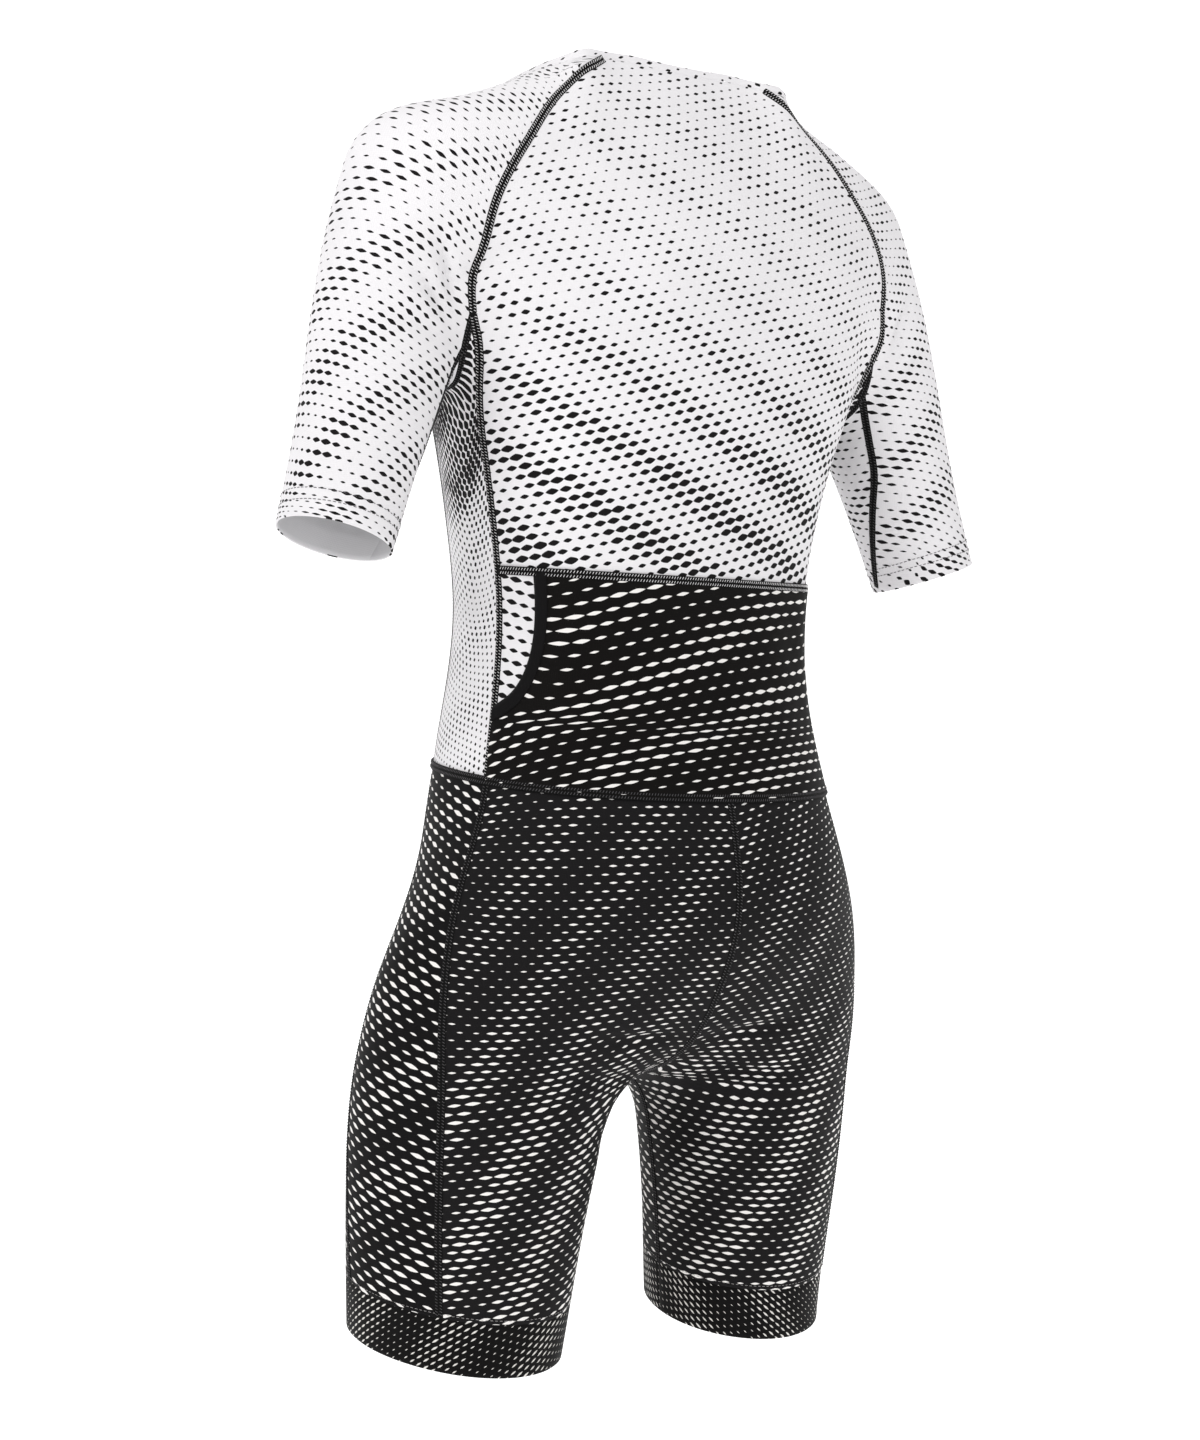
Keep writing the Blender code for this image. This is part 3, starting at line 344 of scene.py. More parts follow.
def seam_through(first, table, last):
    """A smooth seam from one point to another through a table's points, laid on the form."""
    inner = [np.array(row, float) for row in table[1:]]
    return spread(on_form(smooth_run([first, *inner, last], EDGE_POINTS)), EDGE_POINTS)


class Axis:
    """Bearing round a line, distance along it, and distance from it."""

    def __init__(self, start, end, facing):
        self.start = np.asarray(start, float)
        self.along = unit(np.asarray(end, float) - self.start)
        facing = np.asarray(facing, float)
        self.facing = unit(facing - (facing @ self.along) * self.along)
        self.quarter = np.cross(self.along, self.facing)

    def read(self, points):
        off = points - self.start
        front, side = off @ self.facing, off @ self.quarter
        return np.stack((np.arctan2(side, front), off @ self.along, np.hypot(front, side)), axis=-1)

    def place(self, readings):
        bearing, along, radius = np.moveaxis(readings, -1, 0)
        points = self.start + along[..., None] * self.along
        points = points + (radius * np.cos(bearing))[..., None] * self.facing
        return points + (radius * np.sin(bearing))[..., None] * self.quarter


class Line:
    """A seam line: points by their share of the way along it."""

    def __init__(self, points, places=None):
        self.points = np.asarray(points, float)
        self.places = np.linspace(0, 1, len(self.points)) if places is None else places

    def at(self, share):
        columns = [np.interp(share, self.places, column) for column in self.points.T]
        return np.stack(columns, axis=-1)

    def part(self, start, end):
        return Line(self.at(np.linspace(start, end, EDGE_POINTS)))


def joined(knots, *lines):
    """One line of several, each taking the share between two knots."""
    stretches = zip(knots, knots[1:], lines)
    places = [start + (end - start) * line.places for start, end, line in stretches]
    points = [line.points for line in lines]
    return Line(np.concatenate(points), np.concatenate(places))


class Panel:
    """Cloth on the form between four seam lines. Top and bottom run one way, the sides run down.

    Its points are drawn straight onto the form or, under the arm, met by rays from the axis.
    """

    def __init__(self, top, bottom, left, right, axis, rays=False):
        self.axis, self.rays = axis, rays
        self.top = self.unrolled(top, None)
        self.left = self.unrolled(left, self.top.points[0])
        self.right = self.unrolled(right, self.top.points[-1])
        self.bottom = self.unrolled(bottom, self.left.points[-1])

    def unrolled(self, line, start):
        readings = self.axis.read(line.points)
        readings[:, 0] = np.unwrap(readings[:, 0])
        if start is not None:
            turns = (start[0] - readings[0, 0]) / (2 * math.pi)
            readings[:, 0] += 2 * math.pi * round(turns)
        return Line(readings, line.places)

    def at(self, across, down):
        """Points at shares of the way across and down, both arrays of one shape."""
        u, v = across[..., None], down[..., None]
        top, bottom = self.top.points, self.bottom.points
        flat = (1 - v) * self.top.at(across) + v * self.bottom.at(across)
        flat += (1 - u) * self.left.at(down) + u * self.right.at(down)
        corners = (1 - v) * ((1 - u) * top[0] + u * top[-1])
        corners += v * ((1 - u) * bottom[0] + u * bottom[-1])
        readings = flat - corners
        guess = self.axis.place(readings)
        if not self.rays:
            return on_form(guess)
        foot = self.axis.place(readings * (1, 1, 0))
        return np.where(v > 0, reach(foot, guess - foot), guess)

    def grid(self, across, down):
        return self.at(*np.meshgrid(across, down))


def steps(knots, counts):
    """Shares from the first knot to the last, with that many even cells between each two."""
    parts = [np.linspace(a, b, n + 1)[1:] for a, b, n in zip(knots, knots[1:], counts)]
    return np.concatenate([[knots[0]], *parts])


def mirrored(grid):
    return grid[:, ::-1] * (-1.0, 1.0, 1.0)


def other_side(line):
    return Line(line.points * (-1.0, 1.0, 1.0), line.places)


def backwards(line):
    return Line(line.points[::-1], 1 - line.places[::-1])


def both_sides(line):
    """A line from the centre back outwards, made to run from the wearer's right to the left."""
    return joined((0, 0.5, 1), backwards(other_side(line)), line)


def torso_seams():
    """Seams of the left half above the waist, each running down or from back to front."""
    heights = np.linspace(ARMHOLE_HEIGHT, WAIST_HEIGHT, EDGE_POINTS)
    bearings = curves(SIDE_SEAMS)
    back, front = [torso_points(bearings[name](heights), heights) for name in bearings]
    neck_back, neck_front = neck_points(NECK_TO_RAGLAN)
    half_zip = ZIP_WIDTH / 2
    zip_top = float(curves(NECK)["height"](180))
    zip_bottom = centre_front(half_zip, [WAIST_HEIGHT])[0]
    zip_heights = np.linspace(zip_top, WAIST_HEIGHT + WAIST_CLIMB * zip_bottom[1], EDGE_POINTS)
    zip_edge = centre_front(half_zip, zip_heights)
    waist = {
        "waist_back": np.linspace(0, SIDE_SEAMS[-1][1], EDGE_POINTS),
        "waist_side": np.linspace(SIDE_SEAMS[-1][1], SIDE_SEAMS[-1][2], EDGE_POINTS),
        "waist_front": np.linspace(SIDE_SEAMS[-1][2], 180, EDGE_POINTS),
    }
    neck = {
        "neck_back": np.linspace(0, NECK_TO_RAGLAN[0], EDGE_POINTS),
        "neck_shoulder": np.linspace(*NECK_TO_RAGLAN, EDGE_POINTS),
        "neck_front": np.linspace(NECK_TO_RAGLAN[1], 180, EDGE_POINTS),
    }
    seams = {name: torso_points(along, WAIST_HEIGHT) for name, along in waist.items()}
    seams.update({name: neck_points(along) for name, along in neck.items()})
    for name, end in (("waist_front", zip_edge[-1]), ("neck_front", zip_edge[0])):
        line = seams[name]
        line = np.concatenate([line[line[:, 0] > half_zip], [end]])
        seams[name] = spread(line, EDGE_POINTS)
    seams["side_back"], seams["side_front"] = back, front
    seams["raglan_back"] = seam_through(neck_back, RAGLAN_BACK, back[0])
    seams["raglan_front"] = seam_through(neck_front, RAGLAN_FRONT, front[0])
    seams["armhole"] = seam_through(back[0], ARMHOLE, front[0])
    seams["zip_edge"] = zip_edge
    seams["waist_back"] = spread(seams["waist_back"], EDGE_POINTS)
    seams["waist_side"] = spread(seams["waist_side"], EDGE_POINTS)
    return {name: Line(points) for name, points in seams.items()}


# Creases of the worn cloth: soft troughs (minus) and ridges (plus), each laid along the form from
# one point to another. Depth and width are in millimetres, points in centimetres.
CREASES = (
    ("from", "to", "depth", "width"),
    ((20.2, 5.8, -17.6), (16.5, 8.2, -15.5), -2.4, 7),
    ((19.0, 6.6, -20.5), (15.0, 9.0, -22.0), -1.6, 8),
    ((19.5, 6.0, -21.5), (14.5, 9.0, -24.5), -1.2, 11),
    ((19.8, 6.2, -19.6), (21.4, 6.4, -14.2), -4.4, 5),
    ((20.4, 5.8, -20.6), (23.4, 5.6, -16.4), -4.0, 5),
    ((20.8, 5.2, -21.4), (25.0, 5.0, -20.2), -2.6, 7),
    ((-20.5, 5.5, -17.0), (-15.0, 8.5, -13.5), -1.6, 9),
    ((-20.0, 6.0, -19.5), (-14.5, 9.5, -20.0), -1.5, 10),
    ((-19.6, 6.4, -19.6), (-22.0, 6.2, -12.8), -3.6, 6),
    ((-20.6, 5.6, -20.6), (-24.0, 5.4, -17.6), -2.8, 7),
    ((18.0, -7.5, -15.5), (13.0, -10.0, -14.0), -1.7, 9),
    ((18.0, -6.5, -18.5), (12.5, -10.5, -19.5), -1.5, 10),
    ((-18.0, -7.5, -15.0), (-13.5, -10.0, -13.0), -1.7, 9),
    ((-18.0, -6.5, -18.0), (-12.0, -10.5, -18.5), -1.4, 10),
    ((20.0, -4.0, -17.5), (23.5, -3.0, -14.5), -2.0, 8),
    ((-20.0, -4.0, -17.5), (-23.0, -3.0, -14.0), -2.0, 8),
    ((1.5, 10.5, -70.5), (9.0, 9.6, -69.6), -4.6, 6),
    ((2.5, 8.8, -74.0), (11.5, 8.4, -71.8), -3.6, 7),
    ((-1.5, 10.5, -70.5), (-9.5, 9.4, -68.8), -5.0, 6),
    ((-2.5, 8.8, -73.4), (-11.0, 8.4, -73.0), -4.0, 6),
    ((4.5, 5.0, -78.0), (9.0, 7.5, -75.5), -1.5, 9),
    ((-4.5, 5.0, -78.5), (-8.5, 7.5, -76.5), -1.5, 9),
    ((2.0, -9.0, -66.5), (8.5, -9.0, -62.0), -2.2, 10),
    ((-2.0, -9.0, -66.0), (-8.0, -9.0, -61.0), -2.0, 10),
    ((2.5, -8.0, -70.5), (10.0, -8.0, -68.5), -1.8, 9),
    ((-2.5, -8.0, -71.0), (-9.5, -8.0, -68.0), -1.8, 9),
    ((5.0, -5.0, -77.5), (9.5, -7.0, -75.0), -1.4, 9),
    ((-5.0, -5.0, -77.0), (-9.0, -7.0, -75.0), -1.4, 9),
    ((3.0, 11.5, -45.5), (11.0, 8.5, -46.5), 1.2, 12),
    ((-11.5, 8.0, -44.0), (-4.0, 11.0, -43.0), 1.1, 12),
    ((3.0, -10.5, -46.0), (11.0, -8.0, -48.0), 1.3, 12),
    ((-3.5, -10.5, -43.5), (-10.5, -8.0, -45.0), 1.2, 12),
    ((14.5, 1.5, -40.0), (13.5, -3.5, -41.5), 1.0, 11),
    ((-14.5, 1.5, -41.5), (-13.5, -3.0, -40.0), 1.0, 11),
)
CREASE_STEPS = np.linspace(0, 1, 7)
# The share of its depth that a crease still has at its ends
CREASE_END = 0.2


def crease_line(start, end):
    """A crease's points on the form, from its two ends in centimetres."""
    return on_form(np.outer(1 - CREASE_STEPS, start) / 100 + np.outer(CREASE_STEPS, end) / 100)


CREASE_LINES = [(crease_line(start, end), depth, width) for start, end, depth, width in CREASES[1:]]


def relief(points):
    """How far the worn cloth stands off the form at some points."""
    height = np.zeros(points.shape[:-1])
    for line, depth, width in CREASE_LINES:
        off, along = np.full(height.shape, np.inf), np.zeros(height.shape)
        for begun, start, way in zip(CREASE_STEPS, line, np.diff(line, axis=0)):
            share = np.clip((points - start) @ way / (way @ way), 0, 1)
            far = np.linalg.norm(points - start - share[..., None] * way, axis=-1)
            along = np.where(far < off, begun + share * CREASE_STEPS[1], along)
            off = np.minimum(far, off)
        fade = CREASE_END + (1 - CREASE_END) * np.sin(math.pi * np.clip(along, 0.02, 0.98))
        height += depth / 1000 * fade * np.exp(-((off / (width / 1000)) ** 2))
    return height


FLATTENING_ROUNDS, SMOOTHING_ROUNDS = 2500, 24


def flattened(grid):
    """The cut of a panel: its points laid flat with the lengths between neighbours kept."""
    middle = grid.shape[1] // 2
    along = np.linalg.norm(np.diff(grid, axis=1), axis=-1)
    u = np.concatenate([np.zeros((len(grid), 1)), np.cumsum(along, axis=1)], axis=1)
    down = np.linalg.norm(np.diff(grid[:, middle], axis=0), axis=-1)
    v = -np.concatenate([[0], np.cumsum(down)])[:, None] + 0 * u
    flat = np.stack((u - u[:, middle : middle + 1], v), axis=-1)
    here, after, both = slice(None, -1), slice(1, None), slice(None)
    pairs = (
        ((both, here), (both, after)),
        ((here, both), (after, both)),
        ((here, here), (after, after)),
        ((here, after), (after, here)),
    )
    worn_lengths = [np.linalg.norm(grid[b] - grid[a], axis=-1) for a, b in pairs]
    for _ in range(FLATTENING_ROUNDS):
        move = np.zeros_like(flat)
        for (a, b), length in zip(pairs, worn_lengths):
            gap = flat[b] - flat[a]
            far = np.maximum(np.linalg.norm(gap, axis=-1), 1e-6)
            pull = gap * ((1 - length / far) / 8)[..., None]
            move[a] += pull
            move[b] -= pull
        flat += move
    for _ in range(SMOOTHING_ROUNDS):
        around = flat[2:, 1:-1] + flat[:-2, 1:-1] + flat[1:-1, 2:] + flat[1:-1, :-2]
        flat[1:-1, 1:-1] = (flat[1:-1, 1:-1] + around / 4) / 2
    lean = flat[-1, middle] - flat[0, middle]
    turn = math.atan2(lean[0], -lean[1])
    c, s = math.cos(turn), math.sin(turn)
    return (flat - flat[0, middle]) @ np.array(((c, s), (-s, c)))


def finer(coarse):
    """Points between the rows and columns of a coarse grid, on smooth curves."""
    rows, columns = coarse.shape[:2]
    down = Cubic(np.arange(rows), coarse.reshape(rows, -1))
    tall = down(np.linspace(0, rows - 1, FINER * (rows - 1) + 1)).reshape(-1, columns, coarse.shape[2])
    wide = np.swapaxes(tall, 0, 1).reshape(columns, -1)
    across = Cubic(np.arange(columns), wide)(np.linspace(0, columns - 1, FINER * (columns - 1) + 1))
    return np.swapaxes(across.reshape(-1, len(tall), coarse.shape[2]), 0, 1)


def quads(number):
    """The faces between the rows and columns of a grid of point numbers."""
    corners = (number[:-1, :-1], number[:-1, 1:], number[1:, 1:], number[1:, :-1])
    return np.stack(corners, axis=-1).reshape(-1, 4)


def made(name, points, faces, looks, inside=None, flat=None):
    """A smooth-shaded object from points and faces, its cut's places kept as its UV map."""
    mesh = bpy.data.meshes.new(name)
    mesh.from_pydata(np.asarray(points).reshape(-1, 3).tolist(), [], np.asarray(faces).tolist())
    for look in looks:
        mesh.materials.append(look)
    if inside is not None:
        mesh.polygons.foreach_set("material_index", np.asarray(inside, np.int32))
    if flat is not None:
        corner = np.zeros(len(mesh.loops), np.int32)
        mesh.loops.foreach_get("vertex_index", corner)
        mesh.uv_layers.new(name="cut").data.foreach_set("uv", flat.reshape(-1, 2)[corner].ravel())
    mesh.shade_smooth()
    mesh.update()
    piece = bpy.data.objects.new(name, mesh)
    bpy.context.scene.collection.objects.link(piece)
    return piece


def shell(name, grid, flat, looks, thickness=CLOTH, lift=0.0):
    """A thin closed wall of cloth on the form: outer face, inner face and a rounded rim."""
    rows, columns = grid.shape[:2]
    normals = outwards(grid)
    outer = grid + normals * (relief(grid) + lift)[..., None]
    deep = np.broadcast_to(np.asarray(thickness, float), (rows, columns))[..., None]
    inner = outer - normals * deep
    number = np.arange(rows * columns).reshape(rows, columns)
    cells = quads(number)
    if np.cross(outer[0, 1] - outer[0, 0], outer[1, 0] - outer[0, 0]) @ normals[0, 0] < 0:
        cells = cells[:, ::-1]
    sides = (
        (number[0], outer[0], inner[0], outer[1]),
        (number[-1], outer[-1], inner[-1], outer[-2]),
        (number[:, 0], outer[:, 0], inner[:, 0], outer[:, 1]),
        (number[:, -1], outer[:, -1], inner[:, -1], outer[:, -2]),
    )
    points, places = [outer.reshape(-1, 3), inner.reshape(-1, 3)], [flat.reshape(-1, 2)] * 2
    rims, count = [], 2 * rows * columns
    for line, top, bottom, before in sides:
        wall = np.linalg.norm(top - bottom, axis=-1)[:, None]
        bulge = (top + bottom) / 2 + unit(top - before) * wall / 2
        middle = count + np.arange(len(line))
        count += len(line)
        points.append(bulge)
        places.append(flat.reshape(-1, 2)[line])
        rims.append(quads(np.stack((line, middle))))
        rims.append(quads(np.stack((middle, line + rows * columns))))
    faces = np.concatenate([cells, cells[:, ::-1] + rows * columns, *rims])
    inside = np.zeros(len(faces), int)
    inside[len(cells) : 2 * len(cells)] = 1
    piece = made(name, np.concatenate(points), faces, looks, inside, np.concatenate(places))
    mesh = bmesh.new()
    mesh.from_mesh(piece.data)
    bmesh.ops.recalc_face_normals(mesh, faces=mesh.faces)
    mesh.to_mesh(piece.data)
    mesh.free()
    return piece


def linear(hex_colour):
    """An sRGB hex colour as the linear colour that a shader takes."""
    parts = [int(hex_colour[i : i + 2], 16) / 255 for i in (1, 3, 5)]
    return (*[p / 12.92 if p <= 0.04045 else ((p + 0.055) / 1.055) ** 2.4 for p in parts], 1)


def new_look(name):
    """A new material, its node tree and its shader."""
    look = bpy.data.materials.new(name)
    look.use_nodes = True
    return look, look.node_tree, look.node_tree.nodes["Principled BSDF"]


def feed(tree, node, inputs):
    """A node's inputs are set to values or linked to other nodes' outputs."""
    for key, value in inputs.items():
        if isinstance(value, bpy.types.NodeSocket):
            tree.links.new(value, node.inputs[key])
        else:
            node.inputs[key].default_value = value


def add(tree, kind, settings, inputs, out=0):
    """A new shader node with its settings and inputs. What comes back is one of its outputs."""
    node = tree.nodes.new("ShaderNode" + kind)
    for name, value in settings.items():
        setattr(node, name, value)
    feed(tree, node, inputs)
    return node.outputs[out]


MULTIPLY, SUBTRACT, ADD = [{"operation": name} for name in ("MULTIPLY", "SUBTRACT", "ADD")]
FLOOR, DOT = {"operation": "FLOOR"}, {"operation": "DOT_PRODUCT"}
SOFT = {"interpolation_type": "SMOOTHSTEP"}
# A printed mark is between these shares of its size, and its edge is this soft
MARK_UNEVEN, MARK_EDGE = (0.82, 1.1), 0.12


def print_marks(tree, cut, pitch, mark, tilt, sizes, swell, fade):
    """How far each point is inside a printed mark, from 0 to 1.

    The print is a plain halftone: lozenges in a straight staggered lattice, tilted by some degrees.
    Pitch and mark (half its length and width) are in millimetres. The marks swell between two sizes
    in straight bands, swell cycles a metre across and down, and grow from fade's first height, where
    they are its third number of their size, to its second.
    """
    tilt = math.radians(tilt)
    c, s = math.cos(tilt), math.sin(tilt)
    step = np.array(pitch) / 1000
    in_the_cut = {"rotation_type": "Z_AXIS"}
    turned = add(tree, "VectorRotate", in_the_cut, {"Vector": cut, "Angle": tilt})
    scaled = add(tree, "VectorMath", MULTIPLY, {0: turned, 1: (*(1 / step), 0)})
    row = add(tree, "Math", FLOOR, {0: add(tree, "SeparateXYZ", {}, {0: scaled}, "Y")})
    half_rows = add(tree, "Math", MULTIPLY, {0: row, 1: 0.5})
    stagger = add(tree, "Math", {"operation": "FRACT"}, {0: half_rows})
    aside = add(tree, "CombineXYZ", {}, {"X": stagger})
    moved = add(tree, "VectorMath", ADD, {0: scaled, 1: aside})
    cell = add(tree, "VectorMath", FLOOR, {0: moved})
    in_cell = add(tree, "VectorMath", {"operation": "FRACTION"}, {0: moved})
    centred = add(tree, "VectorMath", SUBTRACT, {0: in_cell, 1: (0.5, 0.5, 0)})
    in_marks = (pitch[0] / mark[0], pitch[1] / mark[1], 0)
    shape = add(tree, "VectorMath", MULTIPLY, {0: centred, 1: in_marks})
    round_out = add(tree, "VectorMath", {"operation": "LENGTH"}, {0: shape}, "Value")
    unsigned = add(tree, "VectorMath", {"operation": "ABSOLUTE"}, {0: shape})
    square_out = add(tree, "VectorMath", DOT, {0: unsigned, 1: (1, 1, 0)}, "Value")
    outline = add(tree, "Math", ADD, {0: round_out, 1: square_out})
    across, down = 2 * math.pi * np.array(swell)
    bands = (step[0] * (across * c - down * s), step[1] * (across * s + down * c), 0)
    phase = add(tree, "VectorMath", DOT, {0: cell, 1: bands}, "Value")
    wave = add(tree, "Math", {"operation": "SINE"}, {0: phase})
    size_ends = {"From Min": -1, "To Min": 2 * sizes[0], "To Max": 2 * sizes[1]}
    size = add(tree, "MapRange", SOFT, {"Value": wave, **size_ends})
    height = add(tree, "VectorMath", DOT, {0: cell, 1: (-s * step[0], c * step[1], 0)}, "Value")
    fade_ends = {"From Min": fade[0], "From Max": fade[1], "To Min": fade[2]}
    grown = add(tree, "MapRange", SOFT, {"Value": height, **fade_ends})
    chance = add(tree, "TexWhiteNoise", {"noise_dimensions": "2D"}, {"Vector": cell}, "Value")
    uneven_ends = {"To Min": MARK_UNEVEN[0], "To Max": MARK_UNEVEN[1]}
    uneven = add(tree, "MapRange", {}, {"Value": chance, **uneven_ends})
    grown = add(tree, "Math", MULTIPLY, {0: grown, 1: uneven})
    reached = add(tree, "Math", MULTIPLY, {0: size, 1: grown})
    inside = add(tree, "Math", SUBTRACT, {0: reached, 1: outline})
    edge_ends = {"From Min": -MARK_EDGE, "From Max": MARK_EDGE}
    return add(tree, "MapRange", SOFT, {"Value": inside, **edge_ends})


# A print that doesn't say how it swells and fades swells slowly and doesn't fade
UNFADED = {"swell": (7, 9), "fade": (-9, -8, 1)}
RIB_PITCH, RIB_DEPTH = np.array((0.0011, 0.0013)), 0.0001
# Clouds of slightly paler and duller cloth, about 110 mm across, as on handled knit
CLOUDS_IN_A_METRE = 9.0


def knit(name, cloth, ink=None, **print_choices):
    """Warp-knitted polyester and elastane, dyed or printed by heat transfer.

    It is smooth and soft: a faint sheen at grazing angles, and fine ribs of stitches. The real
    ribs are 0.4 mm apart. They are drawn 1.1 mm apart, so that they show.
    """
    look, tree, shader = new_look(name)
    cut = add(tree, "UVMap", {"uv_map": "cut"}, {})
    place = add(tree, "TexCoord", {}, {}, "Object")
    noise = {"Vector": place, "Scale": CLOUDS_IN_A_METRE, "Detail": 3.0}
    cloudy = add(tree, "TexNoise", {}, noise, "Fac")
    middling = {"Value": cloudy, "From Min": 0.3, "From Max": 0.7}
    clouds = add(tree, "MapRange", {}, {**middling, "To Min": 0.96, "To Max": 1.03})
    rough = add(tree, "MapRange", {}, {**middling, "To Min": 0.64, "To Max": 0.76})
    turns = add(tree, "VectorMath", MULTIPLY, {0: cut, 1: (*(2 * math.pi / RIB_PITCH), 0)})
    waves = add(tree, "VectorMath", {"operation": "SINE"}, {0: turns})
    ribs = add(tree, "VectorMath", DOT, {0: waves, 1: (0.6, 0.4, 0)}, "Value")
    # The ribs are painted into the colour too: faint shade in their troughs and faint light on their
    # crests
    rib_ends = {"From Min": -1, "To Min": 0.965, "To Max": 1.02}
    lit = add(tree, "MapRange", {}, {"Value": ribs, **rib_ends})
    shade = add(tree, "Math", MULTIPLY, {0: clouds, 1: lit})
    colour = add(tree, "VectorMath", {"operation": "SCALE"}, {0: linear(cloth)[:3], "Scale": shade})
    if ink:
        inked = print_marks(tree, cut, **{**UNFADED, **print_choices})
        # A mix of colours takes them at inputs 6 and 7 and gives its result at output 2
        inks = {"Factor": inked, 6: colour, 7: linear(ink)}
        colour = add(tree, "Mix", {"data_type": "RGBA"}, inks, 2)
    bump = add(tree, "Bump", {}, {"Height": ribs, "Strength": 0.3, "Distance": RIB_DEPTH})
    feed(tree, shader, {"Base Color": colour, "Normal": bump, "Roughness": rough})
    feed(tree, shader, {"Specular IOR Level": 0.08, "Sheen Weight": 0.02, "Sheen Roughness": 0.45})
    return look


def stand_for(piece, node):
    """The piece takes its CAD node's place on the suit: it hangs from the suit's body and the node is
    hidden.
    """
    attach(piece, "suit")
    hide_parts(node)


# The knit is stretched when it is worn, so its cut is this much of the worn size
CUT_ACROSS, CUT_DOWN = 0.88, 0.96


def declare(piece, node, flat):
    """The piece stands for its node. It is a panel of stretch knit, cut smaller than it is worn: the
    area of its cut is worked out, but not kept.
    """
    stand_for(piece, node)
    edges = flat[1:, 1:] - flat[:-1, :-1]
    crossing = flat[1:, :-1] - flat[:-1, 1:]
    area = np.abs(edges[..., 0] * crossing[..., 1] - edges[..., 1] * crossing[..., 0]).sum() / 2
    area *= CUT_ACROSS * CUT_DOWN


seams = torso_seams()
upright = Axis((0, 0, 0), (0, 0, -1), (0, 1, 0))
pocket_share = (POCKET_SEAM_HEIGHT - ARMHOLE_HEIGHT) / (WAIST_HEIGHT - ARMHOLE_HEIGHT)
raglan_share = DOWN_RAGLAN / (DOWN_RAGLAN + DOWN_UPPER)
above_pocket = seams["side_back"].part(0, pocket_share)
outer_edge = joined((0, raglan_share, 1), seams["raglan_back"], above_pocket)
pocket_bearing = float(curves(SIDE_SEAMS)["side_back"](POCKET_SEAM_HEIGHT))
pocket_bearings = np.linspace(0, pocket_bearing, EDGE_POINTS)
pocket_seam = Line(spread(torso_points(pocket_bearings, POCKET_SEAM_HEIGHT), EDGE_POINTS))
upper_back = Panel(
    both_sides(seams["neck_back"]),
    both_sides(pocket_seam),
    other_side(outer_edge),
    outer_edge,
    upright,
)


def panel_cloth(name, panel, across, knots, down, looks, mirror=False, **choices):
    """A panel's fine cloth and its cut, as an object and the flat grid."""
    coarse = panel.grid(np.linspace(0, 1, across + 1), steps(knots, down))
    finer_down = [FINER * cells for cells in down]
    fine = panel.grid(np.linspace(0, 1, FINER * across + 1), steps(knots, finer_down))
    flat = finer(flattened(coarse))
    if mirror:
        fine, flat = mirrored(fine), flat[:, ::-1] * (-1, 1)
    return shell(name, fine, flat, looks, **choices), flat


# White knit with black marks transferred onto it. They are half their size on the shoulders and
# grow towards the pocket. Its reverse isn't printed and is a little greyer.
WHITE, BLACK_INK = "#e5e3e5", "#141213"
reverse_white = knit("reverse_of_white_knit", "#d9d8da")
white_back = knit(
    "white_knit_printed_black",
    WHITE,
    BLACK_INK,
    pitch=(10.0, 7.0),
    mark=(4.8, 2.3),
    tilt=16,
    sizes=(0.7, 1.14),
    swell=(9, -19),
    fade=(-0.14, -0.36, 0.5),
)
back_upper, cut = panel_cloth(
    "back_upper_cloth",
    upper_back,
    ACROSS_BACK,
    (0, raglan_share, 1),
    (DOWN_RAGLAN, DOWN_UPPER),
    (white_back, reverse_white),
)
declare(back_upper, "back_upper", cut)

# ---------------------------------------------------------------- lower back
# The same white knit carries on under the pocket to the waist seam. Only its two outer corners
# show, inside the pocket's slanted mouths. Flatlocked to the upper back and the side panels.

DOWN_LOWER = 8
# The same knit and ink, with the marks even and close
white_lower = knit(
    "white_knit_lower_print",
    WHITE,
    BLACK_INK,
    pitch=(10.5, 8.0),
    mark=(5.0, 2.0),
    tilt=-20,
    sizes=(0.9, 1.1),
)
lower_edge = seams["side_back"].part(pocket_share, 1)
lower_back = Panel(
    both_sides(pocket_seam),
    both_sides(seams["waist_back"]),
    other_side(lower_edge),
    lower_edge,
    upright,
)
back_lower, cut = panel_cloth(
    "back_lower_cloth", lower_back, ACROSS_BACK, (0, 1), (DOWN_LOWER,), (white_lower, reverse_white)
)
declare(back_lower, "back_lower", cut)

# ---------------------------------------------------------------- side panels
# A long narrow panel of the same knit from each armpit to the waist, so that the back and front
# can be cut flat. Flatlocked on both of its long edges.

ACROSS_SIDE = 6
# Small marks that grow to more than twice their size by the armpit. They meet there and leave a
# fine white mesh.
white_side = knit(
    "white_knit_side_print",
    WHITE,
    BLACK_INK,
    pitch=(5.6, 5.0),
    mark=(1.7, 1.35),
    tilt=-72,
    sizes=(0.75, 1.0),
    swell=(11, 16),
    fade=(-0.02, -0.13, 2.4),
)
facing_side = Axis((0, 0, 0), (0, 0, -1), (1, 0, 0))
side_panel = Panel(
    seams["armhole"],
    seams["waist_side"],
    seams["side_back"],
    seams["side_front"],
    facing_side,
    rays=True,
)
for side, mirror in (("left", False), ("right", True)):
    piece, cut = panel_cloth(
        "side_" + side + "_cloth",
        side_panel,
        ACROSS_SIDE,
        (0, pocket_share, 1),
        (DOWN_UPPER, DOWN_LOWER),
        (white_side, reverse_white),
        mirror,
    )
    declare(piece, "side_" + side, cut)

# ---------------------------------------------------------------- front panels
# The two halves of the front, from the neck and raglan seams to the waist seam, with the zip
# between them. The photo doesn't show them, so they are plain panels of the same printed knit.

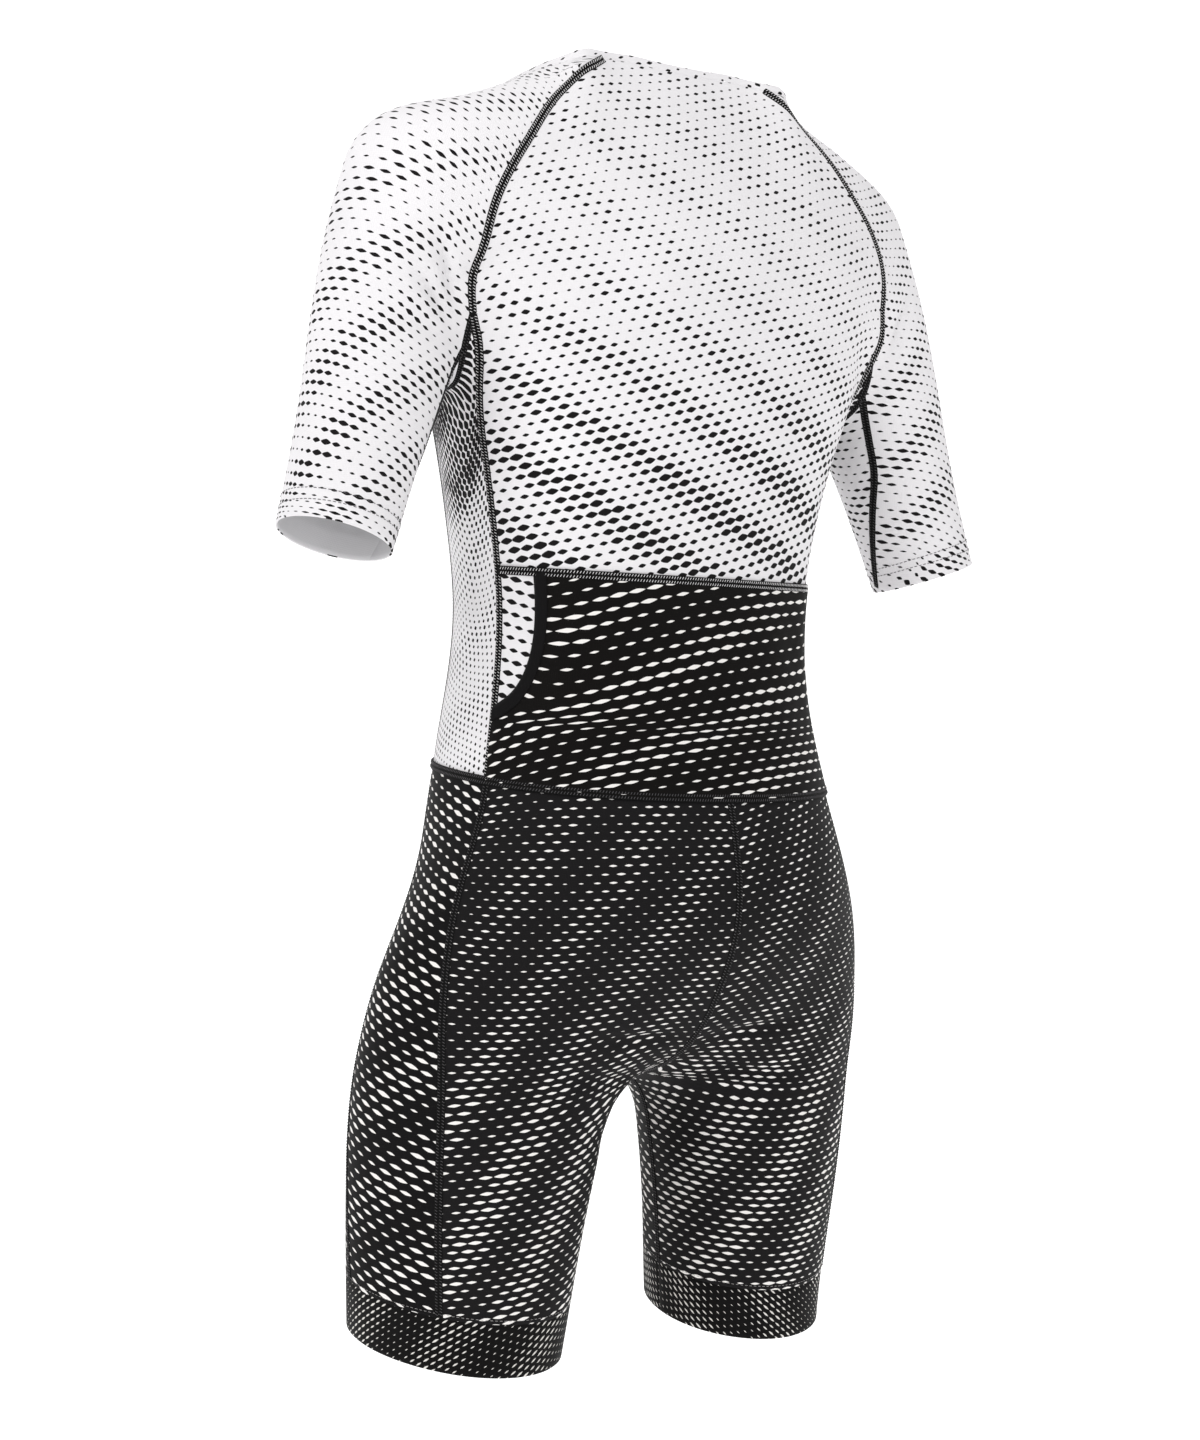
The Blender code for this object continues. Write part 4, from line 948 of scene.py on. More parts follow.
ACROSS_FRONT = 8
front_share = DOWN_RAGLAN / (DOWN_RAGLAN + DOWN_UPPER + DOWN_LOWER)
front_edge = joined((0, front_share, 1), seams["raglan_front"], seams["side_front"])
pocket_row = front_share + (1 - front_share) * pocket_share
facing_front = Axis((0, 0, 0), (0, 0, -1), (0.4, -1, 0))
front_panel = Panel(
    seams["neck_front"],
    seams["waist_front"],
    front_edge,
    seams["zip_edge"],
    facing_front,
)
for side, mirror in (("left", False), ("right", True)):
    piece, cut = panel_cloth(
        "front_" + side + "_cloth",
        front_panel,
        ACROSS_FRONT,
        (0, front_share, pocket_row, 1),
        (DOWN_RAGLAN, DOWN_UPPER, DOWN_LOWER),
        (white_back, reverse_white),
        mirror,
    )
    declare(piece, "front_" + side, cut)

# ---------------------------------------------------------------- pocket
# One wide pocket laid flat on the lower back. It is black-printed knit, caught in the seams above,
# below and low down at both sides. Its slanted mouths are bound with plain black elastic tape.

MOUTH_OUTER = (
    ("in", "down"),
    (0.030, 0.000),
    (0.031, 0.042),
    (0.026, 0.068),
    (0.014, 0.088),
    (0.000, 0.098),
)
MOUTH_INNER = (
    ("in", "down"),
    (0.0395, 0.000),
    (0.0405, 0.044),
    (0.034, 0.074),
    (0.020, 0.096),
    (0.000, 0.109),
)
POCKET_LIFT, TAPE_LIFT, TAPE_CLOTH = 0.0014, 0.0024, 0.0012
TAPE_LENGTH, TAPE_WIDTH = 0.12, 0.0095
# The tape's height from its outer edge to its inner one, in shares of its lift
TAPE_PROFILE = (0.25, 0.75, 1.0, 1.0, 0.95, 0.85)
MOUTH_CELLS = 60
DOWN_MOUTH, DOWN_BELOW_MOUTH = 5, 3


def mouth_edge(table):
    """An edge of the left pocket mouth: shares of the way across and down the lower back."""
    place = smooth_run(table[1:], MOUTH_CELLS)
    lines = (lower_back.top, lower_back.bottom, lower_back.right)
    points = [lower_back.axis.place(line.points) for line in lines]
    top, bottom, side = [np.linalg.norm(np.diff(p, axis=0), axis=1).sum() for p in points]
    down = np.clip(place[:, 1] / side, 0, 1)
    return 1 - place[:, 0] / (top + down * (bottom - top)), down


inner_across, inner_down = mouth_edge(MOUTH_INNER)
outer_across, outer_down = mouth_edge(MOUTH_OUTER)
mouth = lower_back.at(inner_across, inner_down)
below_mouth = lower_edge.part(float(inner_down[-1]), 1)
mouth_knots = (0, DOWN_MOUTH / (DOWN_MOUTH + DOWN_BELOW_MOUTH), 1)
pocket_edge = joined(mouth_knots, Line(mouth), below_mouth)
from_centre = np.linspace(0.5, inner_across[0], EDGE_POINTS)
pocket_top = Line(spread(lower_back.at(from_centre, 0 * from_centre), EDGE_POINTS))
pocket_panel = Panel(
    both_sides(pocket_top),
    both_sides(seams["waist_back"]),
    other_side(pocket_edge),
    pocket_edge,
    upright,
)
# Knit printed black all over, but for small marks that are left white. Its reverse is dark grey
BLACK, WHITE_MARK = "#0c0a09", "#e8e5e2"
black_pocket = knit(
    "black_knit_pocket_print",
    BLACK,
    WHITE_MARK,
    pitch=(14.0, 7.8),
    mark=(6.5, 1.4),
    tilt=9,
    sizes=(0.6, 1.0),
    swell=(7, 17),
)
reverse_black = knit("reverse_of_black_knit", "#2c2a2b")
pocket, cut = panel_cloth(
    "pocket_cloth",
    pocket_panel,
    ACROSS_BACK,
    mouth_knots,
    (DOWN_MOUTH, DOWN_BELOW_MOUTH),
    (black_pocket, reverse_black),
    lift=POCKET_LIFT,
)


def strip_cut(along, across):
    """The cut of a straight strip, from places along it and across it."""
    return np.stack(np.meshgrid(along, across), axis=-1)


# Plain black elastic tape: dull and ribbed, without a print
black_tape = knit("black_elastic_tape", "#0e0d0e")
for side, turn in (("left", 1), ("right", -1)):
    share = np.linspace(0, 1, len(TAPE_PROFILE))[:, None]
    edges = [lower_back.at(outer_across, outer_down), lower_back.at(inner_across, inner_down)]
    grid = on_form((1 - share[..., None]) * edges[0] + share[..., None] * edges[1]) * (turn, 1, 1)
    height = TAPE_LIFT * np.array(TAPE_PROFILE)[:, None] + 0 * grid[..., 0]
    run = np.linspace(0, TAPE_LENGTH, grid.shape[1])
    flat = strip_cut(run, np.linspace(0, TAPE_WIDTH, len(grid)))
    name = "pocket_binding_" + side
    tape = shell(name + "_tape", grid, flat, (black_tape, black_tape), TAPE_CLOTH, height)
    stand_for(tape, name)
declare(pocket, "pocket", cut)

# ---------------------------------------------------------------- sleeves
# One-piece raglan sleeves: the top edge runs up the back raglan seam, over the shoulder at the
# neck and down the front. Each closes in a seam under the arm. The hem is turned up 19 mm and
# sewn with two needles 6.4 mm apart in grey thread.

SLEEVE_REACH = 0.265
SLEEVE_HEM = 0.019
SLEEVE_LINES = (
    ("at_armpit", "at_end"),
    (-59, -108),
    (-28, -58),
    (85, 80),
    (105, 108),
    (205, 200),
    (301, 252),
)
SHOULDER_HEART = np.array((0.200, 0.012, -0.195))
ARMPIT_REACH = 0.175
ACROSS_SHOULDER, BEHIND_SLEEVE_SEAM = 3, 1
DOWN_SLEEVE, DOWN_SLEEVE_HEM = 10, 1
EASING_ROUNDS = 8
HEM_CLOTH = 0.0014
# How far above the sleeve's end the two rows of stitches are, and the size of a stitch
HEM_ROWS = (0.0130, 0.0194)
HEM_STITCH, HEM_GAP, HEM_THREAD_RADIUS = 0.0026, 0.0009, 0.00032


def arm_points(bearings, along):
    """Round the arm, square to it, that far down from the shoulder."""
    angle, along = np.broadcast_arrays(np.radians(bearings), along)
    back = unit(np.array((0.0, 1.0, 0.0)) - ARM_UNIT[1] * ARM_UNIT)
    outside = np.cross(ARM_UNIT, back)
    outside = outside * math.copysign(1, outside[0])
    middle = SHOULDER + along[..., None] * ARM_UNIT
    return reach(middle, np.cos(angle)[..., None] * back + np.sin(angle)[..., None] * outside)


def swung(first, second, share):
    """Directions part of the way round from the first to the second."""
    angle = np.arccos(np.clip((first * second).sum(-1), -1, 1))[..., None]
    return np.sin((1 - share) * angle) * first + np.sin(share * angle) * second


def sleeve_lines(seams):
    """The left sleeve's upper edge, from its seam round by the back, and its cells between corners."""
    before_seam = ACROSS_SIDE - BEHIND_SLEEVE_SEAM
    counts = (BEHIND_SLEEVE_SEAM, DOWN_RAGLAN, ACROSS_SHOULDER, DOWN_RAGLAN, before_seam)
    knots = np.cumsum((0, *counts)) / sum(counts)
    armhole, seam_at = seams["armhole"], BEHIND_SLEEVE_SEAM / ACROSS_SIDE
    top = joined(
        knots,
        backwards(armhole.part(0, seam_at)),
        backwards(seams["raglan_back"]),
        seams["neck_shoulder"],
        seams["raglan_front"],
        backwards(armhole.part(seam_at, 1)),
    )
    return top, knots, sum(counts)


def eased(grid):
    """The grid with its inner points drawn evenly between their neighbours, along the form."""
    grid = grid.copy()
    for _ in range(EASING_ROUNDS):
        middle = (grid[2:, 1:-1] + grid[:-2, 1:-1] + grid[1:-1, 2:] + grid[1:-1, :-2]) / 4
        grid[1:-1, 1:-1] = on_form(middle, rounds=3)
    return grid


def sleeve_grid(top, knots, across, down, down_hem):
    """Points of the left sleeve: rays fan out over the shoulder, then from the middle of the arm.

    Rows are even along each line, but for the last few, which keep to the hem.
    """
    fan = np.linspace(0, 1, EDGE_POINTS // 2)
    tube = fan[1:, None]
    table = np.array(SLEEVE_LINES[1:]).T
    at_armpit, at_end = [np.interp(across, knots, column) for column in table]
    first = unit(top.at(across) - SHOULDER_HEART)
    second = unit(arm_points(at_armpit, ARMPIT_REACH) - SHOULDER_HEART)
    over = reach(SHOULDER_HEART, swung(first, second, fan[:, None, None]))
    bearings = at_armpit + tube * (at_end - at_armpit)
    below = arm_points(bearings, ARMPIT_REACH + tube * (SLEEVE_REACH - ARMPIT_REACH))
    lines = np.swapaxes(np.concatenate([over, below]), 0, 1)
    columns = []
    for line in lines:
        hem = lengths(line)[-1] - SLEEVE_HEM
        wanted = np.concatenate([hem * down, hem + SLEEVE_HEM * down_hem[1:]])
        columns.append(placed(line, wanted))
    grid = on_form(np.stack(columns, axis=1))
    grid[0] = top.at(across)
    return np.concatenate([eased(grid[: len(down)]), grid[len(down) :]])


# A stitch from its start to its end: its height is in radii of the thread
STITCH = (
    ("along", "height"),
    (0, -0.8),
    (0.18, 0.6),
    (0.82, 0.6),
    (1, -0.8),
)


def threads(name, starts, ends, normals, radius, look):
    """Many short stitches in one mesh. Each arches over the cloth and dips in at both ends."""
    share, rise = np.array(STITCH[1:]).T[..., None]
    spine = starts[:, None] + share * (ends - starts)[:, None] + radius * rise * normals[:, None]
    side = unit(np.cross(normals, ends - starts))
    angle = np.radians((90, 210, 330))
    ring = np.cos(angle)[:, None] * side[:, None] + np.sin(angle)[:, None] * normals[:, None]
    points = spine[:, :, None] + radius * ring[:, None]
    number = np.arange(points.size // 3).reshape(points.shape[:3])
    after = np.roll(number, -1, axis=2)
    faces = np.stack((number[:, :-1], after[:, :-1], after[:, 1:], number[:, 1:]), axis=-1)
    piece = made(name, points, faces.reshape(-1, 4), (look,))
    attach(piece, "suit")
    return piece


# The twist of a thread is about 1.1 mm long, so that it is seen as a grain
TWISTS_IN_A_METRE = 900.0


def thread(name, colour, roughness=0.65, specular=0.12):
    """Spun polyester sewing thread: matt, with a twist too fine to show but for its grain."""
    look, tree, shader = new_look(name)
    place = add(tree, "TexCoord", {}, {}, "Object")
    grain = add(tree, "TexNoise", {}, {"Vector": place, "Scale": TWISTS_IN_A_METRE}, "Fac")
    shade = add(tree, "MapRange", {}, {"Value": grain, "To Min": 0.75, "To Max": 1.1})
    shaded = {0: linear(colour)[:3], "Scale": shade}
    colour = add(tree, "VectorMath", {"operation": "SCALE"}, shaded)
    feed(tree, shader, {"Base Color": colour})
    feed(tree, shader, {"Roughness": roughness, "Specular IOR Level": specular})
    return look


def stitch_row(line, stitch, gap):
    """Starts and ends of a straight row of stitches along a line on the form, and its normals."""
    first = np.arange(0, lengths(line)[-1] - stitch, stitch + gap)
    starts, ends = placed(line, first), placed(line, first + stitch)
    normals = outwards((starts + ends) / 2)
    lifted = relief((starts + ends) / 2)[:, None] * normals
    return starts + lifted, ends + lifted, normals


top, knots, sleeve_cells = sleeve_lines(seams)
down, down_hem = np.linspace(0, 1, DOWN_SLEEVE + 1), np.linspace(0, 1, DOWN_SLEEVE_HEM + 1)
coarse = sleeve_grid(top, knots, np.linspace(0, 1, sleeve_cells + 1), down, down_hem)
cut = finer(flattened(coarse))
sleeve = finer(coarse)
exact = top.at(np.linspace(0, 1, FINER * sleeve_cells + 1))
for row in range(FINER):
    sleeve[row] += (exact - sleeve[0]) * (1 - row / FINER) if row else 0
sleeve = on_form(sleeve)
sleeve[0] = exact
deep = np.where(np.arange(len(sleeve)) < FINER * DOWN_SLEEVE, CLOTH, HEM_CLOTH)[:, None]
# The marks grow a little from the shoulder to the hem
white_sleeve = knit(
    "white_knit_sleeve_print",
    WHITE,
    BLACK_INK,
    pitch=(9.0, 6.6),
    mark=(4.0, 1.5),
    tilt=-16,
    sizes=(0.5, 1.08),
    swell=(12, 18),
    fade=(-0.17, -0.29, 0.8),
)
grey_thread = thread("grey_thread", "#5c5a5d")
for side, mirror in (("left", False), ("right", True)):
    grid, flat = (mirrored(sleeve), cut[:, ::-1] * (-1, 1)) if mirror else (sleeve, cut)
    piece = shell("sleeve_" + side + "_cloth", grid, flat, (white_sleeve, reverse_white), deep)
    rows = []
    for up in HEM_ROWS:
        share = len(grid) - 1 - up / SLEEVE_HEM * FINER * DOWN_SLEEVE_HEM
        low = int(share)
        line = grid[low] + (share - low) * (grid[min(low + 1, len(grid) - 1)] - grid[low])
        rows.append(stitch_row(line, HEM_STITCH, HEM_GAP))
    stitches = [np.concatenate(parts) for parts in zip(*rows)]
    hem = threads("sleeve_hem_" + side + "_stitches", *stitches, HEM_THREAD_RADIUS, grey_thread)
    declare(piece, "sleeve_" + side, flat)

# ---------------------------------------------------------------- shorts
# Back, side and front panel of each half of the shorts, in heavier black-printed knit, joined at
# the centre back, the centre front and the inside of the leg.

BAND_SEAM_HEIGHT, BAND_SEAM_CLIMB = -0.884, -0.18
SHORT_SEAMS = (
    ("height", "side_back", "side_front", "inseam"),
    (-0.620, 61, 122, 270),
    (-0.738, 54, 118, 270),
    (-0.809, 50, 115, 270),
    (BAND_SEAM_HEIGHT, 45, 112, 272),
)
# A seam bends freely over this height below its first point, before it follows the table
SHORT_SEAM_EASE = 0.03
RISE_CENTRE = np.array((0.0, 0.0, -0.600))
DOWN_RISE, DOWN_INSEAM = 12, 8
LEG_TOP = WAIST_HEIGHT + WAIST_CLIMB * float(LEG_CURVES["back"](WAIST_HEIGHT))


def leg_level(heights):
    """The middle of the thigh at some heights, and how the level climbs there."""
    heights = np.asarray(heights, float)
    share = np.clip((heights - LEG_TOP) / (BAND_SEAM_HEIGHT - LEG_TOP), 0, 1)
    climb = WAIST_CLIMB + share * (BAND_SEAM_CLIMB - WAIST_CLIMB)
    return on_axis(LEG_CURVES["across"](heights), LEG_CURVES["back"](heights), heights), climb


def leg_points(bearings, heights):
    bearings, heights = np.broadcast_arrays(np.asarray(bearings, float), heights)
    middle, climb = leg_level(heights)
    return reach(middle, compass(bearings, climb))


def leg_bearing(point, height):
    across, back = (point - leg_level(height)[0])[:2]
    return math.degrees(math.atan2(across, back))


def leg_seam(name, first_point, first_height):
    """A seam down the thigh from a point on its first level to the band, evenly by height."""
    names, *rows = SHORT_SEAMS
    lower = [row for row in rows if row[0] < first_height - SHORT_SEAM_EASE]
    rows = [(row[0], row[names.index(name)]) for row in lower]
    start = leg_bearing(first_point, first_height)
    start += 360 * round((rows[0][1] - start) / 360)
    bearing = curves((("height", "bearing"), (first_height, start), *rows))["bearing"]
    heights = np.linspace(first_height, BAND_SEAM_HEIGHT, EDGE_POINTS)
    points = leg_points(bearing(heights), heights)
    points[0] = first_point
    return points


def rise_seam(waist_point):
    """The centre seam of the shorts from the waist seam down to the crotch."""
    start = math.atan2(waist_point[2] - RISE_CENTRE[2], abs(waist_point[1]))
    angle = np.linspace(start, -math.pi / 2, EDGE_POINTS)
    side = math.copysign(1, waist_point[1])
    ways = np.stack((0 * angle, side * np.cos(angle), np.sin(angle)), axis=-1)
    return spread(reach(RISE_CENTRE + 0 * ways, ways), EDGE_POINTS)


def crotch_height(crotch):
    """The height of the thigh level that the crotch lies in."""
    heights = np.linspace(LEG_TOP, BAND_SEAM_HEIGHT, EDGE_POINTS)
    middle, climb = leg_level(heights)
    above = crotch[2] - middle[:, 2] - climb * (crotch[1] - middle[:, 1])
    return float(np.interp(0, above, heights))


def short_panels(seams):
    """The left back, side and front of the shorts, and their row shares."""
    waist_middle = seams["waist_back"].points[0]
    front_middle = torso_points([180], WAIST_HEIGHT)[0]
    back_rise, front_rise = rise_seam(waist_middle), rise_seam(front_middle)
    crotch = back_rise[-1]
    height = crotch_height(crotch)
    share = (height - LEG_TOP) / (BAND_SEAM_HEIGHT - LEG_TOP)
    inseam = leg_seam("inseam", crotch, height)
    back_edge = joined((0, share, 1), Line(back_rise), Line(inseam))
    front_edge = joined((0, share, 1), Line(front_rise), Line(inseam))
    side_back = Line(leg_seam("side_back", seams["waist_side"].points[0], LEG_TOP))
    side_front = Line(leg_seam("side_front", seams["waist_side"].points[-1], LEG_TOP))
    back, front, inner = SHORT_SEAMS[-1][1:]
    bottoms = []
    for ends in ((inner - 360, back), (back, front), (front, inner)):
        around = np.linspace(*ends, EDGE_POINTS)
        bottoms.append(Line(leg_points(around, BAND_SEAM_HEIGHT)))
    waist_front = seams["waist_front"]
    half_zip = Line([waist_front.points[-1], front_middle])
    front_top = joined((0, ACROSS_FRONT / (ACROSS_FRONT + 1), 1), waist_front, half_zip)
    top, low = leg_level(LEG_TOP)[0], leg_level(BAND_SEAM_HEIGHT)[0]
    panels = {
        "back": (seams["waist_back"], bottoms[0], back_edge, side_back, (0, 1, 0)),
        "side": (seams["waist_side"], bottoms[1], side_back, side_front, (1, 0, 0)),
        "front": (front_top, bottoms[2], side_front, front_edge, (0, -1, 0)),
    }
    panels = {name: Panel(*lines, Axis(top, low, way)) for name, (*lines, way) in panels.items()}
    return panels, steps((0, share, 1), (DOWN_RISE, DOWN_INSEAM))


SHORT_CLOTH = 0.0009
# The seat's black is a little paler, with fine white marks that grow from the waist down. The
# sides' and the front's is deeper, with larger marks.
black_short_back = knit(
    "black_knit_seat_print",
    "#161516",
    WHITE_MARK,
    pitch=(11.0, 5.6),
    mark=(5.0, 1.3),
    tilt=7,
    sizes=(0.5, 0.98),
    swell=(17, 9),
    fade=(-0.13, -0.26, 0.66),
)
black_short_side = knit(
    "black_knit_side_print",
    "#0e0d0e",
    WHITE_MARK,
    pitch=(13.5, 7.2),
    mark=(5.8, 1.5),
    tilt=-21,
    sizes=(0.62, 1.02),
    swell=(9, 15),
)
short_looks = {"back": black_short_back, "side": black_short_side, "front": black_short_side}
short_across = {"back": ACROSS_BACK // 2, "side": ACROSS_SIDE, "front": ACROSS_FRONT + 1}
panels, down = short_panels(seams)
rise_share = float(down[DOWN_RISE])
for name, panel in panels.items():
    for side, mirror in (("left", False), ("right", True)):
        piece, cut = panel_cloth(
            "short_" + name + "_" + side + "_cloth",
            panel,
            short_across[name],
            (0, rise_share, 1),
            (DOWN_RISE, DOWN_INSEAM),
            (short_looks[name], reverse_black),
            mirror,
            thickness=SHORT_CLOTH,
        )
        declare(piece, "short_" + name + "_" + side, cut)

# ---------------------------------------------------------------- leg bands
# A 38 mm wide band of firm black-printed elastic knit round each leg opening. It is joined by a
# plain overlocked seam, with one fine row of pale stitches just above it.

HEM_HEIGHT = -0.922
BAND_CLOTH = 0.0015
DOWN_BAND = 2
BAND_STITCH_ABOVE = 0.0028
BAND_STITCH, BAND_GAP, BAND_THREAD_RADIUS = 0.0022, 0.0012, 0.0002
# Black elastic knit with small slanting marks
black_band = knit(
    "black_band_print",
    "#0b0a0a",
    "#d6d3ce",
    pitch=(7.0, 4.2),
    mark=(3.1, 0.8),
    tilt=38,
    sizes=(0.4, 0.9),
    swell=(14, 8),
)
pale_thread = thread("pale_thread", "#b9b6b4")
back, front, inner = SHORT_SEAMS[-1][1:]
counts = tuple(FINER * n for n in short_across.values())
bearings = steps((inner - 360, back, front, inner), counts)
heights = np.linspace(BAND_SEAM_HEIGHT, HEM_HEIGHT, FINER * DOWN_BAND + 1)
band = leg_points(bearings, heights[:, None])
drop = np.linalg.norm(band[-1, 0] - band[0, 0])
flat = strip_cut(lengths(band[0]), np.linspace(0, -drop, len(band)))
stitched = leg_points(bearings, np.full(len(bearings), BAND_SEAM_HEIGHT + BAND_STITCH_ABOVE))
for side, turn in (("left", 1), ("right", -1)):
    name = "leg_band_" + side
    grid = band * (turn, 1, 1)
    piece = shell(name + "_cloth", grid, flat, (black_band, reverse_black), BAND_CLOTH)
    stitches = stitch_row(stitched * (turn, 1, 1), BAND_STITCH, BAND_GAP)
    row = threads(name + "_stitches", *stitches, BAND_THREAD_RADIUS, pale_thread)
    declare(piece, name, flat)

# ---------------------------------------------------------------- neck band
# A narrow fold of the white knit binds the neck edge, open at the zip.

COLLAR_HEIGHT, COLLAR_CLOTH, COLLAR_CROWN = 0.006, 0.0016, 0.0004
UP_COLLAR = 4
parts = (
    (seams["neck_back"], ACROSS_BACK // 2),
    (seams["neck_shoulder"], ACROSS_SHOULDER),
    (seams["neck_front"], ACROSS_FRONT),
)
left = [line.at(np.linspace(0, 1, FINER * cells + 1))[1:] for line, cells in parts]
left = np.concatenate([parts[0][0].points[:1], *left])
bottom = np.concatenate([mirrored(left[None])[0][:-1], left])
bearings = np.degrees(np.arctan2(bottom[:, 0], bottom[:, 1]))
rows = [bottom]
for raised in np.linspace(0, COLLAR_HEIGHT, UP_COLLAR + 1)[1:]:
    row = neck_points(bearings, raised)
    for end, half in ((0, -ZIP_WIDTH / 2), (-1, ZIP_WIDTH / 2)):
        row[end] = centre_front(half, [bottom[end, 2] + raised])[0]
    rows.insert(0, row)
grid = np.array(rows)
flat = strip_cut(lengths(bottom), np.linspace(0, -COLLAR_HEIGHT, len(grid)))
crown = COLLAR_CROWN * np.sin(np.linspace(0, math.pi, len(grid)))[:, None]
collar = shell("collar_band", grid, flat, (white_back, reverse_white), COLLAR_CLOTH, crown)
stand_for(collar, "collar")

# ---------------------------------------------------------------- flatlock seams
# The panels butt edge to edge and a flatlock machine sews over both edges. That leaves a raised
# band 6 mm wide in black thread, with a row of white stitches along each of its halves. On the
# shorts those stitches are dark grey thread. Under the arms they are dark grey as well, which is
# painted shade of the armpit's fold.

SEAM_PROFILE = (
    ("across", "height"),
    (-3.1, -0.30),
    (-2.9, 0.22),
    (-2.2, 0.50),
    (-1.2, 0.55),
    (0.0, 0.22),
    (1.2, 0.55),
    (2.2, 0.50),
    (2.9, 0.22),
    (3.1, -0.30),
)
SEAM_STEP, SEAM_TAPER, SEAM_PROBE = 0.003, 0.004, 0.001
# The rungs are the stitches across the band. Real ones are 1.5 mm apart, drawn coarser to show
RUNG_PITCH, RUNG_SLANT, RUNG_RADIUS = 0.0022, 0.0005, 0.00028
RUNG_INNER, RUNG_OUTER, RUNG_LIFT = 0.0007, 0.0025, 0.00045
# A seam that lies over the pocket or the waist's two cloths stands this much higher
POCKET_SEAM_LIFT, WAIST_SEAM_LIFT = 0.0012, 0.0010


def seam_frame(line, wanted):
    """Points, directions across and normals at some lengths along a seam."""
    points = placed(line, wanted)
    after = placed(line, np.minimum(wanted + SEAM_PROBE, lengths(line)[-1]))
    ahead = after - placed(line, np.maximum(wanted - SEAM_PROBE, 0))
    normals = outwards(points)
    return points, unit(np.cross(normals, ahead)), unit(ahead), normals


def seam_band(line, lift):
    """The raised band along one seam, as points and faces."""
    length = lengths(line)[-1]
    wanted = np.linspace(0, length, max(int(length / SEAM_STEP), 4))
    points, across, _, _ = seam_frame(line, wanted)
    profile = np.array(SEAM_PROFILE[1:]) / 1000
    grid = on_form(points[:, None] + across[:, None] * profile[:, :1], rounds=3)
    worn = np.clip(np.minimum(wanted, length - wanted) / SEAM_TAPER, 0.1, 1)[:, None]
    grid = grid + outwards(grid) * (profile[:, 1] * worn + relief(grid) + lift)[..., None]
    number = np.arange(grid.shape[0] * grid.shape[1]).reshape(grid.shape[:2])
    return grid.reshape(-1, 3), quads(number)


def seam_rungs(line, lift):
    """Starts, ends and normals of the two rows of stitches along one seam."""
    wanted = np.arange(RUNG_PITCH, lengths(line)[-1] - RUNG_PITCH, RUNG_PITCH)
    points, across, ahead, normals = seam_frame(line, wanted)
    starts, ends, ups = [], [], []
    for half in (1, -1):
        for found, out, slant in ((starts, RUNG_INNER, -1), (ends, RUNG_OUTER, 1)):
            place = points + half * out * across + slant * half * RUNG_SLANT * ahead
            place = on_form(place, rounds=2)
            found.append(place + (relief(place) + lift + RUNG_LIFT)[:, None] * normals)
        ups.append(normals)
    return [np.concatenate(rows) for rows in (starts, ends, ups)]


def sewn(name, lines, stitch_look):
    """The bands and the stitches of a group of seams, each as one piece."""
    points, faces, rungs, count = [], [], [], 0
    for line, lift in lines:
        some, cells = seam_band(line, lift)
        points.append(some)
        faces.append(cells + count)
        count += len(some)
        rungs.append(seam_rungs(line, lift))
    points, faces = np.concatenate(points), np.concatenate(faces)
    band = made(name + "_bands", points, faces, (black_overlock,))
    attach(band, "suit")
    stitches = [np.concatenate(parts) for parts in zip(*rungs)]
    threads(name + "_stitches", *stitches, RUNG_RADIUS, stitch_look)


def on_both(*lines):
    """Each line of the left half and its mirror image."""
    return [points * (turn, 1, 1) for points in lines for turn in (1, -1)]


def whole(points):
    """A line of the left half from the centre back, carried on round the right half."""
    return np.concatenate([(points * (-1, 1, 1))[::-1][:-1], points])


waist_parts = [seams[name].points for name in ("waist_back", "waist_side", "waist_front")]
whole_waist = whole(spread(np.concatenate(waist_parts), 3 * EDGE_POINTS))
upper_seams = on_both(
    seams["raglan_back"].points,
    seams["raglan_front"].points,
    seams["side_back"].points,
    seams["side_front"].points,
)
underarm_seams = on_both(seams["armhole"].points, sleeve[: len(sleeve) - 1, 0])
# Textured polyester thread: the black is duller for lying in a dense band
black_overlock = thread("black_overlock_thread", "#070707", 0.7)
white_overlock = thread("white_overlock_thread", "#efedee")
# Dark grey thread on the shorts. Under the arms the same dark grey is painted shade of the armpit's
# fold
dark_thread_and_armpit_shade = thread("dark_thread_and_painted_armpit_shade", "#5c5a5c")
flat_seams = [(line, 0.0) for line in upper_seams]
sewn("upper_seams", [*flat_seams, (whole(pocket_seam.points), POCKET_SEAM_LIFT)], white_overlock)
# The armholes and the seams under the arms get dark grey stitches as painted shade of the armpit
sewn("underarm_seams", [(line, 0.0) for line in underarm_seams], dark_thread_and_armpit_shade)
short_lines = on_both(
    panels["side"].axis.place(panels["side"].left.points),
    panels["side"].axis.place(panels["side"].right.points),
)
rise = panels["back"].axis.place(panels["back"].left.points)
front_rise = panels["front"].axis.place(panels["front"].right.points)
crotch_at = int(np.argmin(np.abs(panels["back"].left.places - rise_share)))
centre = np.concatenate([rise[:crotch_at], front_rise[:crotch_at][::-1]])
inseams = on_both(rise[crotch_at:])
short_lines = [spread(line, 2 * EDGE_POINTS) for line in [*short_lines, centre, *inseams]]
flat_seams = [(line, 0.0) for line in short_lines]
sewn("short_seams", [*flat_seams, (whole_waist, WAIST_SEAM_LIFT)], dark_thread_and_armpit_shade)

# ---------------------------------------------------------------- front zip
# A closed coil zip, 46 cm long: two black woven tapes with a nylon coil sewn along each edge, and
# a lacquered zinc slider at the top. The slider is shut. Only its pull tab moves.

ZIP_CLOTH, ZIP_SINK = 0.0012, 0.0002
ACROSS_ZIP, DOWN_ZIP = 8, 24
# The tape reaches this much of the zip's width to either side, under the front panels' edges
ZIP_REACH = 0.56
